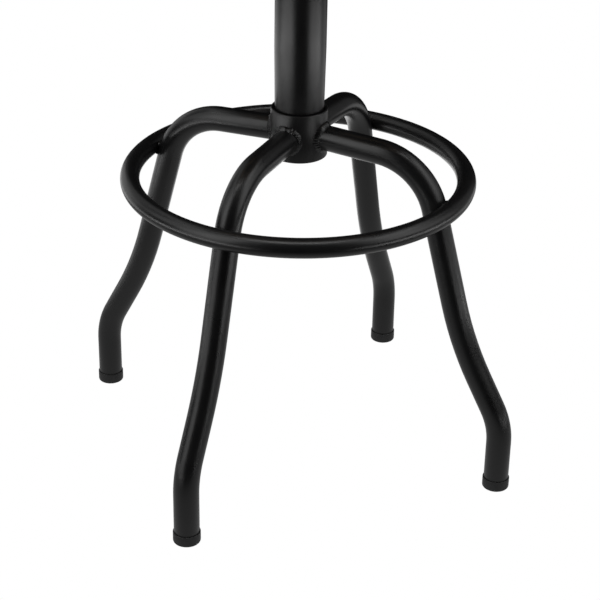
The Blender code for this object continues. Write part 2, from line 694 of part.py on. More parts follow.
def add_channel(steel, carrier):
    """Adds the folded channel that stands on the socket and carries the lever's pivot."""
    shape = folded_section()
    driven = bmesh.ops.extrude_face_region(shape, geom=shape.faces[:])["geom"]
    corners = [item for item in driven if isinstance(item, bmesh.types.BMVert)]
    bmesh.ops.translate(shape, verts=corners, vec=(CHANNEL_LEN, 0.0, 0.0))
    below = CHANNEL_BOTTOM - CHANNEL_SHEET
    above = CHANNEL_BOTTOM + 2 * CHANNEL_SHEET
    neck_hole = rod(NECK_RADIUS + GAP, below, above, INNER_SIDES)
    pin_hole = rod(PIVOT_DIA / 2 + GAP, -CHANNEL_WIDTH, CHANNEL_WIDTH, SMALL_SIDES)
    moved(pin_hole, Matrix.Translation((PIVOT_ARM, 0.0, PIVOT_Z)) @ Matrix.Rotation(math.pi / 2, 4, "X"))
    channel = combine(make_mesh("mechanism_channel", shape), merge([neck_hole, pin_hole]), "DIFFERENCE")
    place("mechanism_channel", channel, steel, parent=carrier)


def add_pivot(steel, spring_steel, carrier):
    """Adds the lever's pivot pin through the channel and the clip in its groove."""
    face = CHANNEL_WIDTH / 2 + GAP
    clip_far = face + GAP + CLIP_THICKNESS
    radius = PIVOT_DIA / 2
    profile = [
        (0.0, -face - PIVOT_HEAD),
        (PIVOT_HEAD_DIA / 2, -face - PIVOT_HEAD),
        (PIVOT_HEAD_DIA / 2, -face),
        (radius, -face),
        (radius, face),
        (radius - CLIP_GROOVE, face),
        (radius - CLIP_GROOVE, clip_far + GAP),
        (radius, clip_far + GAP),
        (radius, clip_far + PIVOT_HEAD),
        (0.0, clip_far + PIVOT_HEAD),
    ]
    pivot = (PIVOT_ARM, 0.0, PIVOT_Z)
    across = (-90.0, 0.0, 0.0)
    pin_mesh = make_mesh("lever_pivot_pin", turned(profile, SMALL_SIDES))
    place("lever_pivot_pin", pin_mesh, steel, carrier, pivot, across)
    clip = ring_profile(radius - CLIP_GROOVE + GAP, PIVOT_HEAD_DIA / 2, face + GAP, clip_far)
    clip_mesh = make_mesh("pivot_clip", turned(clip, SMALL_SIDES, CLIP_ARC))
    place("pivot_clip", clip_mesh, spring_steel, carrier, pivot, across)


def add_lever(steel, plastic, carrier):
    """Adds the release lever, whose toe lies on the valve pin, and the grip on its outer end."""
    stages = [
        (LEVER_TOE + PIVOT_ARM + LEVER_STRAIGHT, LEVER_BEND_RADIUS, LEVER_BEND),
        (LEVER_SLOPE_LEN, LEVER_BEND_RADIUS, 0.0),
    ]
    start = (-LEVER_TOE - PIVOT_ARM, 0.0, 0.0)
    bar = bent_tube(LEVER_DIA / 2, start, 0.0, stages, LEVER_END_LEN, SMALL_SIDES, capped=True)
    upright = Matrix.Rotation(math.pi / 2, 4, "X")
    eye = moved(rod(EYE_DIA / 2, -EYE_WIDTH / 2, EYE_WIDTH / 2, SMALL_SIDES), upright)
    hole_radius = bore(PIVOT_DIA / 2, RUNNING_GAP, SMALL_SIDES)
    hole = moved(rod(hole_radius, -EYE_WIDTH, EYE_WIDTH, SMALL_SIDES), upright)
    lever = combine(make_mesh("lever_rod", bar), eye, "UNION")
    lever = combine(lever, hole, "DIFFERENCE")
    place("lever_rod", lever, steel, parent=carrier)
    out, down = centreline(stages, 0.0)
    rod_end = start[0] + out + LEVER_END_LEN
    bored = LEVER_DIA / 2 + GAP
    profile = [
        (0.0, GRIP_LEN),
        (GRIP_DIA / 2 - GRIP_EDGE, GRIP_LEN),
        (GRIP_DIA / 2, GRIP_LEN - GRIP_EDGE),
        (GRIP_DIA / 2, GRIP_FLARE),
        (GRIP_NECK_DIA / 2, 0.0),
        (bored, 0.0),
        (bored, GRIP_BORE),
        (0.0, GRIP_BORE),
    ]
    grip_start = (rod_end + GAP - GRIP_BORE, 0.0, -down)
    place("lever_grip", make_mesh("lever_grip", turned(profile, SMALL_SIDES)), plastic, carrier, grip_start,
          (0.0, 90.0, 0.0))


def hole_pattern(radius, low, high):
    """Returns a cutter for the four bolt places."""
    return merge([moved(rod(radius, low, high, FASTENER_SIDES), Matrix.Translation((x, y, 0.0)))
                  for x, y in BOLT_PLACES])


def add_seat_plate(steel, carrier):
    """Adds the square plate under the seat board, with rounded corners and four bolt holes."""
    shape = bmesh.new()
    size = Matrix.Diagonal((PLATE_SIDE, PLATE_SIDE, PLATE_THICKNESS, 1.0))
    middle = Matrix.Translation((0.0, 0.0, PLATE_BOTTOM + PLATE_THICKNESS / 2))
    bmesh.ops.create_cube(shape, size=1.0, matrix=middle @ size)
    upright = [edge for edge in shape.edges if abs(edge.verts[0].co.z - edge.verts[1].co.z) > GAP]
    bmesh.ops.bevel(shape, geom=upright, offset=PLATE_CORNER, offset_type="OFFSET", segments=CORNER_STEPS,
                    profile=ROUND_PROFILE, affect="EDGES")
    holes = hole_pattern(BOLT_HOLE, PLATE_BOTTOM - PLATE_THICKNESS, PLATE_TOP + PLATE_THICKNESS)
    plate = combine(make_mesh("seat_plate", shape), holes, "DIFFERENCE")
    place("seat_plate", plate, steel, parent=carrier)


def add_seat_board(plywood, carrier):
    """Adds the plywood disc, with holes for the tee nuts and a counterbore for each flange."""
    blank = make_mesh("seat_board", rod(BOARD_DIA / 2, BOARD_BOTTOM, BOARD_TOP, CUSHION_STEPS))
    below = BOARD_BOTTOM - BOARD_THICKNESS
    above = BOARD_TOP + BOARD_THICKNESS
    barrels = hole_pattern(TEE_BARREL + GAP, below, above)
    flanges = hole_pattern(TEE_FLANGE_DIA / 2 + GAP, TEE_TOP - TEE_FLANGE - GAP, above)
    board = combine(combine(blank, barrels, "DIFFERENCE"), flanges, "DIFFERENCE")
    place("seat_board", board, plywood, parent=carrier)


def add_seat_fasteners(zinc, carrier):
    """Adds a button-head bolt, a washer and a tee nut at each bolt place."""
    tee = [
        (TEE_FLANGE_DIA / 2, TEE_TOP),
        (TEE_FLANGE_DIA / 2, TEE_TOP - TEE_FLANGE),
        (TEE_BARREL, TEE_TOP - TEE_FLANGE),
        (TEE_BARREL, TEE_TOP - TEE_LEN),
        (BOLT_DIA / 2 + GAP, TEE_TOP - TEE_LEN),
        (BOLT_DIA / 2 + GAP, TEE_TOP),
    ]
    washer = ring_profile(BOLT_HOLE, WASHER_DIA / 2, WASHER_BOTTOM, WASHER_BOTTOM + WASHER_THICKNESS)
    head = BOLT_HEAD_DIA / 2
    bolt = [
        (0.0, BOLT_SEAT - BOLT_HEAD),
        (BOLT_FLAT_DIA / 2, BOLT_SEAT - BOLT_HEAD),
        (head, BOLT_SEAT - BOLT_RIM),
        (head, BOLT_SEAT),
        (BOLT_DIA / 2, BOLT_SEAT),
        (BOLT_DIA / 2, TEE_TOP - TEE_FLANGE),
        (0.0, TEE_TOP - TEE_FLANGE),
    ]
    low = BOLT_SEAT - BOLT_HEAD
    key = rod(BOLT_SOCKET / 2, low - BOLT_SOCKET_DEPTH, low + BOLT_SOCKET_DEPTH, KEY_SIDES)
    bolt_mesh = combine(make_mesh("seat_bolt", turned(bolt, FASTENER_SIDES)), key, "DIFFERENCE")
    meshes = {
        "tee_nut": make_mesh("tee_nut", turned(tee, FASTENER_SIDES)),
        "seat_washer": make_mesh("seat_washer", turned(washer, FASTENER_SIDES)),
        "seat_bolt": bolt_mesh,
    }
    for number, (x, y) in enumerate(BOLT_PLACES, start=1):
        for name, mesh in meshes.items():
            place(f"{name}_{number}", mesh, zinc, parent=carrier, location=(x, y, 0.0))


def cushion_profile(grow):
    """Returns the cushion's (radius, height) points from its crown to the board, grown outwards."""
    widest = CUSHION_BOTTOM + CUSHION_SIDE
    power = 2.0 / CUSHION_SQUARENESS
    points = []
    for step in range(CROWN_STEPS + 1):
        angle = math.radians(90.0 * (1.0 - step / CROWN_STEPS))
        radius = (SEAT_DIA / 2 + grow) * max(0.0, math.cos(angle)) ** power if step else 0.0
        points.append((radius, widest + (CUSHION_CROWN + grow) * math.sin(angle) ** power))
    swell = (SEAT_DIA - BOARD_DIA) / 2
    for step in range(1, SWELL_STEPS + 1):
        angle = math.radians(90.0 * step / SWELL_STEPS)
        radius = BOARD_DIA / 2 + grow + swell * math.cos(angle)
        points.append((radius, widest - CUSHION_SIDE * math.sin(angle)))
    return points


def add_cushion(foam_finish, vinyl, carrier):
    """Adds the crowned foam pad and the cover, which is drawn in at the board and tucked under it."""
    foam = [*cushion_profile(0.0), (0.0, CUSHION_BOTTOM)]
    place("seat_foam", make_mesh("seat_foam", turned(foam, CUSHION_STEPS)), foam_finish, parent=carrier)
    inner = cushion_profile(GAP)
    outer = cushion_profile(GAP + COVER_THICKNESS)
    side = BOARD_DIA / 2 + GAP
    under = BOARD_BOTTOM - GAP
    hem = BOARD_DIA / 2 - COVER_TUCK
    cover = [
        *outer,
        (side + COVER_THICKNESS, under),
        (side, under - COVER_THICKNESS),
        (hem, under - COVER_THICKNESS),
        (hem, under),
        (side, under),
        *reversed(inner),
    ]
    place("seat_cover", make_mesh("seat_cover", turned(cover, CUSHION_STEPS)), vinyl, parent=carrier)


def main():
    for old in list(bpy.data.objects):
        bpy.data.objects.remove(old)
    powder_coat = make_material("black_powder_coat", (0.012, 0.012, 0.013), 0.42)
    column_paint = make_material("black_column_paint", (0.014, 0.014, 0.015), 0.38)
    bright_steel = make_material("bright_steel", (0.62, 0.62, 0.63), 0.22, 1.0)
    zinc = make_material("zinc_plate", (0.58, 0.59, 0.60), 0.35, 1.0)
    spring_steel = make_material("spring_steel", (0.16, 0.16, 0.17), 0.35, 1.0)
    alloy = make_material("piston_alloy", (0.70, 0.70, 0.71), 0.40, 1.0)
    brass = make_material("cage_brass", (0.72, 0.53, 0.22), 0.32, 1.0)
    black_plastic = make_material("black_plastic", (0.015, 0.015, 0.016), 0.50)
    nylon = make_material("natural_nylon", (0.78, 0.77, 0.72), 0.45)
    rubber = make_material("black_rubber", (0.02, 0.02, 0.02), 0.80)
    plywood = make_material("plywood", (0.60, 0.43, 0.26), 0.65)
    foam = make_material("seat_foam", (0.83, 0.79, 0.66), 0.90)
    vinyl = make_material("black_vinyl", (0.018, 0.018, 0.019), 0.46)

    swivel = make_empty("swivel_axis", (0.0, 0.0, 0.0))
    roller = make_empty("cage_axis", (0.0, 0.0, 0.0))
    seat = make_empty("height_axis", (0.0, 0.0, 0.0), parent=swivel)
    valve = make_empty("valve_axis", (0.0, 0.0, 0.0), parent=seat)
    lever = make_empty("lever_axis", (PIVOT_ARM, 0.0, PIVOT_Z), parent=seat)

    add_hub(powder_coat)
    add_legs(powder_coat)
    add_foot_ring(powder_coat)
    add_glides(black_plastic)
    add_column(column_paint, bright_steel, black_plastic)
    add_bearing(bright_steel, brass, swivel, roller)
    add_spindle(bright_steel, spring_steel, rubber, alloy, swivel)
    add_pressure_tube(column_paint, nylon, bright_steel, seat, valve)
    add_socket(powder_coat, seat)
    add_channel(powder_coat, seat)
    add_pivot(zinc, spring_steel, seat)
    add_lever(powder_coat, black_plastic, lever)
    add_seat_plate(powder_coat, seat)
    add_seat_board(plywood, seat)
    add_seat_fasteners(zinc, seat)
    add_cushion(foam, vinyl, seat)


main()
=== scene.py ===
"""Looks of a backless swivel bar stool: bent tubes with welds, a gas-lift column, a sewn vinyl seat.

Metres, +Z up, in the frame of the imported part, which stands on the floor with the column on the Z axis.
"""

import json
import math

import bmesh
import bpy
from mathutils import Matrix, Vector, noise


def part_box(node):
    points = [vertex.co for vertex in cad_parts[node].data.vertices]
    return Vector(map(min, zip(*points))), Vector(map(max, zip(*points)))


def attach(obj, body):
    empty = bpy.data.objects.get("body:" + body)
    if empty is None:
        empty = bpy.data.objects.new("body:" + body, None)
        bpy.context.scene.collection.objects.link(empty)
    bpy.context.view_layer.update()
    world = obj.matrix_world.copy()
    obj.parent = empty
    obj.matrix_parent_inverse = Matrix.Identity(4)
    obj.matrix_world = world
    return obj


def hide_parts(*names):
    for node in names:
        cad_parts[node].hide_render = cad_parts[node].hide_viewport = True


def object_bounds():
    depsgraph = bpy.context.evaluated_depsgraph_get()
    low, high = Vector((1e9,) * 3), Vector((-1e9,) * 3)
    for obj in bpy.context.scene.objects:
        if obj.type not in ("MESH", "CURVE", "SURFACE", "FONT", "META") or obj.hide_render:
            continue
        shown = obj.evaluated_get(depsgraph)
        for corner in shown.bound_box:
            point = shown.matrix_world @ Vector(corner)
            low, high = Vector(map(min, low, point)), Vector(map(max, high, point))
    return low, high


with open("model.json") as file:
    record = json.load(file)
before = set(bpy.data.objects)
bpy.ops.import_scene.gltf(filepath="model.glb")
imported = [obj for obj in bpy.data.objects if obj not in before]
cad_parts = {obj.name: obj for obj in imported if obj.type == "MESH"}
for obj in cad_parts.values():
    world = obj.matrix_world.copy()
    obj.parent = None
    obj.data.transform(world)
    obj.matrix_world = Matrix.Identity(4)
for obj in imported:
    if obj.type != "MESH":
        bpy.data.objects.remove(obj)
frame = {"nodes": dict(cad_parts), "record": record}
CAD_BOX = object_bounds()

# Fits
GAP = 0.0003  # between pieces that touch
MERGE = 0.000001

# Facets
TUBE_SIDES = 48
RING_STEPS = 192
TURNED_SIDES = 96
SMALL_SIDES = 48
BEND_STEP = 2.0  # degrees
SMOOTH_ANGLE = 32.0  # degrees
CUT_ANGLE = 60.0  # degrees; the corners that a cut leaves are sharper
EDGE_SEGMENTS = 3
FINE_SEGMENTS = 2
FOLD_SEGMENTS = 6
CORNER_SEGMENTS = 12

# Leg tube, from the hub down; slopes are in degrees below level
LEG_AZIMUTHS = {"front_left": -135.0, "front_right": -45.0, "back_right": 45.0, "back_left": 135.0}
LEG_RADIUS = 0.0125
LEG_WALL = 0.0015
LEG_START = 0.014  # from the column's axis, inside the hub
ROOT_SLOPE = 2.8
ROOT_LEN = 0.0866
KNEE_RADIUS = 0.0654
SHIN_SLOPE = 74.7
SHIN_LEN = 0.0995
SWEEP_RADIUS = 0.340
CALF_SLOPE = 61.1
CALF_LEN = 0.035
ANKLE_RADIUS = 0.0758
ANKLE_SLOPE = 90.0
TUBE_LIP = 0.0005  # rounding of the tube end
COPE_REACH = 0.03  # how far the coping cut runs past the hub

# Glides and foot ring
GLIDE_EDGE = 0.002
GLIDE_EDGE_STEPS = 6
GLIDE_RIM = 0.0006
GLIDE_RIM_STEPS = 4
GLIDE_STEM_PLAY = 0.0025  # from the tube's wall to the stem
RING_RADIUS = 0.16633  # of its centreline

# Welds
HUB_WELD = 0.0046  # radius of the bead round a leg's root
HUB_WELD_SINK = 0.0012  # of its middle, into the leg and the hub
HUB_WELD_ROOT = 0.0010  # how deep the bead goes
HUB_WELD_STEPS = 260
HUB_WELD_LUMPS = 24
RING_WELD = 0.0021
RING_WELD_STAND = 0.35  # share of its radius that it stands off the leg
RING_WELD_ARC = 60.0  # degrees round the leg
RING_WELD_OFFSET = 0.0052  # above and below the line where ring and leg touch
RING_WELD_STEPS = 60
RING_WELD_LUMPS = 7
WELD_SIDES = 24
WELD_TIP = 0.06  # square of how thin a bead ends
WELD_RIPPLE = 0.07  # shares of the bead's radius
WELD_UNEVEN = 0.16
WELD_ROUGH = 0.06
WELD_GRAIN = 0.0026  # size of the roughness
WELD_DRIFT = 1.6  # of the scallops, in scallops
WELD_DRIFT_RATE = 7.0  # rates are how fast the noise changes over a bead
WELD_STRENGTH = 0.5  # of a middling scallop
WELD_STRENGTH_RATE = 9.0
WELD_UNEVEN_RATE = 0.45  # for each lump
WELD_LAYERS = (0.5, 2.5, 4.5)  # of the noise: drift, strength, unevenness

# Column and hub
HUB_DROP = 0.0232  # below the leg roots
COLUMN_TAPER = 0.0150  # radius lost for each unit of length
TAPER_SHOW = 0.060  # taper above the hub
COLUMN_WALL = 0.002
COLUMN_LIP = 0.005
COLUMN_LIP_HEIGHT = 0.003
HUB_MOUTH = 0.0015
HUB_EDGE = 0.0010
COLUMN_EDGE = 0.0004

# Gas lift
RUNNING_GAP = 0.00035
SOCKET_TAPER = 0.0251
BUSH_FLANGE = 0.003
BUSH_WALL = 0.0025
BUSH_EDGE = 0.0004
TUBE_RADIUS = 0.014
TUBE_WALL = 0.0015
TUBE_LIP_RADIUS = 0.008
TUBE_LIP_HEIGHT = 0.001
TUBE_EDGE = 0.0003
VALVE_BLOCK = 0.020
VALVE_EDGE = 0.0012
VALVE_EDGE_STEPS = 5

# Seat mechanism
SOCKET_STEP = 0.002
SOCKET_NECK = 0.007
SOCKET_EDGE = 0.0015
SOCKET_WELD = 0.0022
SOCKET_WELD_SINK = 0.2  # shares of its radius: into the socket, and down from the shoulder
SOCKET_WELD_DROP = 0.6
SOCKET_WELD_LUMPS = 34
SHEET_EDGE = 0.0004
CHANNEL_WIDTH = 0.050
CHANNEL_SHEET = 0.0025
CHANNEL_FOLD = 0.0015  # inner radius
PIVOT_RADIUS = 0.0025
PIVOT_HEAD_RADIUS = 0.0045
PIVOT_HEAD = 0.002
PIN_EDGE = 0.0005
CLIP_GROOVE = 0.0008
CLIP_THICKNESS = 0.001
CLIP_ARC = 300.0  # degrees
CLIP_EDGE = 0.0002
EYE_RADIUS = 0.0065
EYE_WIDTH = 0.009
LEVER_RADIUS = 0.004
LEVER_TOE = 0.005  # past the valve
LEVER_STRAIGHT = 0.025  # past the pivot
LEVER_BEND = 32.0  # degrees
LEVER_BEND_RADIUS = 0.020
LEVER_SLOPE_LEN = 0.032
LEVER_END_LEN = 0.065
GRIP_NECK_RADIUS = 0.006
GRIP_FLARE = 0.012
GRIP_EDGE = 0.005
GRIP_EDGE_STEPS = 8
GRIP_WAIST = 0.0007
GRIP_WAIST_AT = 0.45  # share of its length
GRIP_BORE = 0.048
GRIP_ROUND = 0.0012
GRIP_ROUND_ANGLE = 20.0  # degrees

# Seat
PLATE_CORNER = 0.012
BOARD_EDGE = 0.0008
SEAT_RADIUS = 0.183
CUSHION_SIDE = 0.020  # height of the widest line above the board
CUSHION_CROWN = 0.038  # from the widest line to the top
CUSHION_SQUARENESS = 2.6  # 2 is an ellipse
FOAM_STEPS = 24
FOAM_SLACK = 0.006
COVER_THICKNESS = 0.0015
COVER_TUCK = 0.0265  # under the board
COVER_START = 0.002  # kept under its final size before it swells
COVER_ROUND = 0.003
COVER_ROUND_STEPS = 4
COVER_GRID = 0.120  # radius of the crown's even grid
COVER_SIDES = 144
COVER_STEPS = 14
COVER_PRESSURE = 4.0
COVER_STIFFNESS = 15.0
COVER_FRAMES = 20
COVER_MOVE = 0.004
HEM_STEPS = 8
HEM_RADIUS = 0.147
SEAM_RADIUS = 0.168
SEAM_FOLD = [  # outwards from the seam, dip
    (-0.0022, 0.0), (-0.0007, 0.0002), (0.0, 0.0016), (0.0006, 0.0002), (0.0018, 0.0),
]
STITCH_RADIUS = 0.1635
STITCH_COUNT = 228
STITCH_LENGTH = 0.0036
STITCH_WIRE = 0.00035
STITCH_SIDES = 6
STITCH_TIP = 0.4  # share of the thread's radius
STITCH_STAGES = [  # forward in half lengths, rise in threads, growth
    (0.2, 0.8, 2.2), (0.6, 0.5, 1.15), (0.6, 0.0, 1.0), (0.6, -0.5, 0.87),
]
PLEATS = 52
PLEAT_DEPTH = 0.0012
PLEAT_DRIFT = 2.2  # radians
PLEAT_DRIFT_RATE = 3.0
PLEAT_DRIFT_ROW = 1.5  # of the noise
STAPLE_COUNT = 40
STAPLE_WIRE = 0.0004
STAPLE_SIDES = 10
STAPLE_WIDTH = 0.010
STAPLE_BEND = 0.0008
STAPLE_BEND_STEPS = 6
STAPLE_LEG = 0.005
STAPLE_INSET = 0.006
STAPLE_SWAY = 2.0  # degrees round the hem
STAPLE_SHIFT = 0.002  # outwards
STAPLE_LEAN = 8.0  # degrees
STAPLE_NOISE = [(1.7, 0.3), (2.3, 4.1), (0.9, 8.2)]  # rate and row of sway, shift and lean

# Fasteners
BOLT_COUNT = 4
BOLT_RADIUS = 0.003
BOLT_CLEARANCE = 0.0005
BOLT_HEAD_RADIUS = 0.00525
BOLT_RIM = 0.001
BOLT_CROWN = 0.0023
BOLT_DOME = [(0.93, 0.40), (0.80, 0.76)]  # shares of the head's radius and of its crown
BOLT_FLAT_RADIUS = 0.0034
BOLT_SOCKET = 0.004  # across the corners
BOLT_SOCKET_DEPTH = 0.002
KEY_SIDES = 6
TEE_WALL = 0.001
TEE_FLANGE = 0.0015
TEE_FLANGE_RADIUS = 0.0095

# Surfaces
CLOUD_LOW = 0.32  # the noise lies mostly between these two
CLOUD_HIGH = 0.68
SHEEN_FINENESS = 3.0  # how much finer than the tone the gloss changes
GRAIN_WARP = 0.8
GRAIN_CREASE = 0.28  # share of a cell
WHITE = (1.0, 1.0, 1.0, 1.0)
BLACK = (0.0, 0.0, 0.0, 1.0)

# Camera, set from the photographed view; it stands in front of the stool, turned about the column
CAMERA_LENS = 105.886  # millimetres on a 36 mm sensor
CAMERA_SENSOR = 36.0
CAMERA_TURN = -18.700
CAMERA_DISTANCE = 1.6061
CAMERA_HEIGHT = 0.9977
CAMERA_PITCH = 27.661
CAMERA_YAW = 0.139
CAMERA_ROLL = 1.016

# Studio; turns are in degrees about the column from the camera's side, glows are what a surface gives off
FLOOR_SIZE = 12.0
FLOOR_DROP = 0.0005
FLOOR_SEEN = 1.0
FLOOR_POOLS = [  # what the stool sees of the floor: distance behind the column, two radii, glow
    (0.12, 0.26, 0.90, 0.42),
    (0.60, 0.10, 0.40, 1.20),
]
SURROUND_DARK = (0.008, 0.008, 0.008)
AREA_POWER = 4.0  # of a light, for each unit of glow and area
SOFT_BOXES = [  # name, turn, distance, lower edge, width, height, glow
    ("soft_right", 74.0, 1.6, 0.5, 2.0, 2.8, 0.60),
    ("soft_right_core", 68.0, 1.58, 0.5, 0.8, 2.8, 0.60),
    ("soft_right_high", 104.0, 1.5, 1.7, 1.6, 1.2, 0.70),
    ("soft_back_right", 122.0, 1.8, 0.0, 1.1, 1.4, 0.13),
    ("soft_left", -72.0, 1.6, 0.7, 2.2, 2.6, 0.60),
    ("soft_left_core", -56.0, 1.58, 0.1, 0.95, 3.2, 0.80),
    ("soft_left_high", -114.0, 1.5, 1.95, 1.5, 1.1, 0.50),
    ("soft_back_left", -132.0, 1.8, 0.0, 1.3, 0.95, 0.53),
    ("soft_back_left_high", -138.0, 1.8, 0.95, 1.3, 1.8, 0.22),
]
FLOOR_PATCHES = [  # name, turn, distance, depth, width, glow; bright floor below the soft boxes
    ("floor_right", 68.0, 1.30, 0.76, 1.4, 2.6),
    ("floor_left", -62.0, 1.30, 0.76, 1.5, 2.7),
    ("floor_back_left", -128.0, 1.2, 0.9, 1.3, 0.85),
    ("floor_back_right", 118.0, 1.2, 0.9, 1.2, 0.5),
]
PATCH_LIFT = 0.001
TOP_LIGHT_HEIGHT = 3.0
TOP_LIGHT_SIZE = 1.7
TOP_LIGHT_GLOW = 3.0


def only(piece):
    """Selects one piece and makes it active, in object mode."""
    if bpy.context.object and bpy.context.object.mode != "OBJECT":
        bpy.ops.object.mode_set(mode="OBJECT")
    bpy.ops.object.select_all(action="DESELECT")
    piece.select_set(True)
    bpy.context.view_layer.objects.active = piece


def name_piece(piece, name):
    """Names a piece and its mesh."""
    piece.name = name
    piece.data.name = name


def start_piece(name):
    """Names the primitive just added, settles it at the origin and opens it for editing, all selected."""
    piece = bpy.context.object
    name_piece(piece, name)
    only(piece)
    bpy.ops.object.transform_apply(location=True, rotation=True, scale=True)
    bpy.ops.object.mode_set(mode="EDIT")
    bpy.ops.mesh.select_mode(type="EDGE")
    bpy.ops.mesh.select_all(action="SELECT")
    return piece


def draw_circle(name, radius, sides, location=(0, 0, 0), rotation=(0, 0, 0)):
    """Starts a piece from a circle."""
    bpy.ops.object.select_all(action="DESELECT")
    bpy.ops.mesh.primitive_circle_add(vertices=sides, radius=radius, location=location, rotation=rotation)
    return start_piece(name)


def draw_plane(name, width, depth, location, rotation=(0, 0, 0)):
    """Starts a piece from a flat rectangle."""
    bpy.ops.object.select_all(action="DESELECT")
    bpy.ops.mesh.primitive_plane_add(size=1.0, location=location, rotation=rotation)
    bpy.context.object.scale = (width, depth, 1)
    return start_piece(name)


def draw_out(offset):
    """Extrudes the selected edges by an offset."""
    bpy.ops.mesh.extrude_edges_move(TRANSFORM_OT_translate={"value": offset})


def draw_rings(profile):
    """Draws the selected ring out through (radius, height) points, of which it is the first."""
    radius, height = profile[0]
    for next_radius, next_height in profile[1:]:
        draw_out((0, 0, next_height - height))
        share = next_radius / radius
        bpy.ops.transform.resize(value=(share, share, 1), center_override=(0, 0, next_height))
        radius, height = next_radius, next_height


def fill_ends():
    """Closes the open ends of the piece in hand."""
    bpy.ops.mesh.select_all(action="SELECT")
    bpy.ops.mesh.fill_holes(sides=0)


def select_rims():
    """Selects the open edges of the piece in hand."""
    bpy.ops.mesh.select_mode(type="EDGE")
    bpy.ops.mesh.select_all(action="DESELECT")
    bpy.ops.mesh.select_non_manifold(extend=False, use_wire=False, use_boundary=True, use_multi_face=False,
                                     use_non_contiguous=False, use_verts=False)


def select_where(piece, kind, test):
    """Selects the vertices, edges or faces of the piece in hand that pass a test."""
    bpy.ops.mesh.select_mode(type=kind)
    bpy.ops.mesh.select_all(action="DESELECT")
    shape = bmesh.from_edit_mesh(piece.data)
    items = {"VERT": shape.verts, "EDGE": shape.edges, "FACE": shape.faces}[kind]
    for item in items:
        if test(item):
            item.select_set(True)
    shape.select_flush_mode()
    bmesh.update_edit_mesh(piece.data)


def close_piece(piece):
    """Merges doubled points, turns the faces outwards and leaves edit mode."""
    bpy.ops.mesh.select_all(action="SELECT")
    bpy.ops.mesh.remove_doubles(threshold=MERGE)
    bpy.ops.mesh.normals_make_consistent(inside=False)
    bpy.ops.object.mode_set(mode="OBJECT")
    return piece


def tidy_points(piece):
    """Opens a finished piece once more, to merge its doubled points."""
    only(piece)
    bpy.ops.object.mode_set(mode="EDIT")
    return close_piece(piece)


def set_order(piece):
    """Orders a mesh by place, because extruding leaves its edges and faces in another order in each run."""
    mesh = piece.data
    order = sorted(range(len(mesh.vertices)), key=lambda index: tuple(mesh.vertices[index].co))
    rank = {old: new for new, old in enumerate(order)}
    places = [mesh.vertices[index].co.copy() for index in order]
    edges = sorted(sorted(rank[index] for index in edge.vertices) for edge in mesh.edges)
    faces = []
    for face in mesh.polygons:
        corners = [rank[index] for index in face.vertices]
        first = corners.index(min(corners))
        faces.append(corners[first:] + corners[:first])
    mesh.clear_geometry()
    mesh.from_pydata(places, edges, sorted(faces))
    return piece


def apply_modifier(piece, kind, **settings):
    """Adds a modifier with the given settings and applies it."""
    only(piece)
    modifier = piece.modifiers.new(kind.lower(), kind)
    for key, value in settings.items():
        setattr(modifier, key, value)
    bpy.ops.object.modifier_apply(modifier=modifier.name)
    return piece


def round_edges(piece, width, segments=EDGE_SEGMENTS, angle=SMOOTH_ANGLE):
    """Rounds the corners of a piece that are sharper than an angle."""
    apply_modifier(piece, "BEVEL", width=width, segments=segments, limit_method="ANGLE",
                   angle_limit=math.radians(angle), use_clamp_overlap=True)
    return tidy_points(piece)


def cut(piece, tool, operation="DIFFERENCE"):
    """Cuts a piece with a tool, or joins the two, and removes the tool."""
    apply_modifier(piece, "BOOLEAN", object=tool, operation=operation, solver="EXACT")
    bpy.data.objects.remove(tool)
    return tidy_points(piece)


def put(piece, matrix):
    """Moves a finished piece to its place and leaves its object at the origin."""
    piece.matrix_world = matrix
    only(piece)
    bpy.ops.object.transform_apply(location=True, rotation=True, scale=True)
    return piece


def copy_to(piece, name, matrix):
    """Copies a piece, with its own mesh, to another place."""
    only(piece)
    bpy.ops.object.duplicate()
    copy = bpy.context.object
    name_piece(copy, name)
    return put(copy, matrix)


def smooth(piece, angle=SMOOTH_ANGLE):
    """Shades a piece smooth up to an angle."""
    only(piece)
    bpy.ops.object.shade_smooth_by_angle(angle=math.radians(angle))
    return piece


def settle(piece, finish, body, slot, *nodes):
    """Gives a piece its finish and the body that it moves with, and hides the nodes that it stands for; slot
    is not used.
    """
    piece.data.materials.clear()
    piece.data.materials.append(finish)
    smooth(piece)
    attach(piece, body)
    if nodes:
        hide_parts(*nodes)
    return piece


def turned_about(azimuth):
    """Returns the turn about the column's axis to an azimuth in degrees."""
    return Matrix.Rotation(math.radians(azimuth), 4, "Z")


def arc(centre, radius, first, last, steps):
    """Returns (radius, height) points round an arc, with angles in degrees from level."""
    points = []
    for step in range(steps + 1):
        angle = math.radians(first + (last - first) * step / steps)
        points.append((centre[0] + radius * math.cos(angle), centre[1] + radius * math.sin(angle)))
    return points


def turn(name, profile, sides=TURNED_SIDES, capped=False):
    """Turns a piece about Z: a circle drawn out ring by ring through (radius, height) points.

    A capped piece has flat ends; in any other the last ring joins the first.
    """
    radius, height = profile[0]
    piece = draw_circle(name, radius, sides, location=(0, 0, height))
    draw_rings(profile)
    if capped:
        fill_ends()
    else:
        select_rims()
        bpy.ops.mesh.bridge_edge_loops()
    return close_piece(piece)


def turn_rod(name, radius, low, high, sides=SMALL_SIDES):
    """Turns a plain rod about Z, between two heights."""
    return turn(name, [(radius, low), (radius, high)], sides, capped=True)


def uneven(place, rate, row, layer=0.0):
    """Returns smooth noise along a row: slow at a low rate, different in each row and layer."""
    return noise.noise(Vector((place * rate, row, layer)))


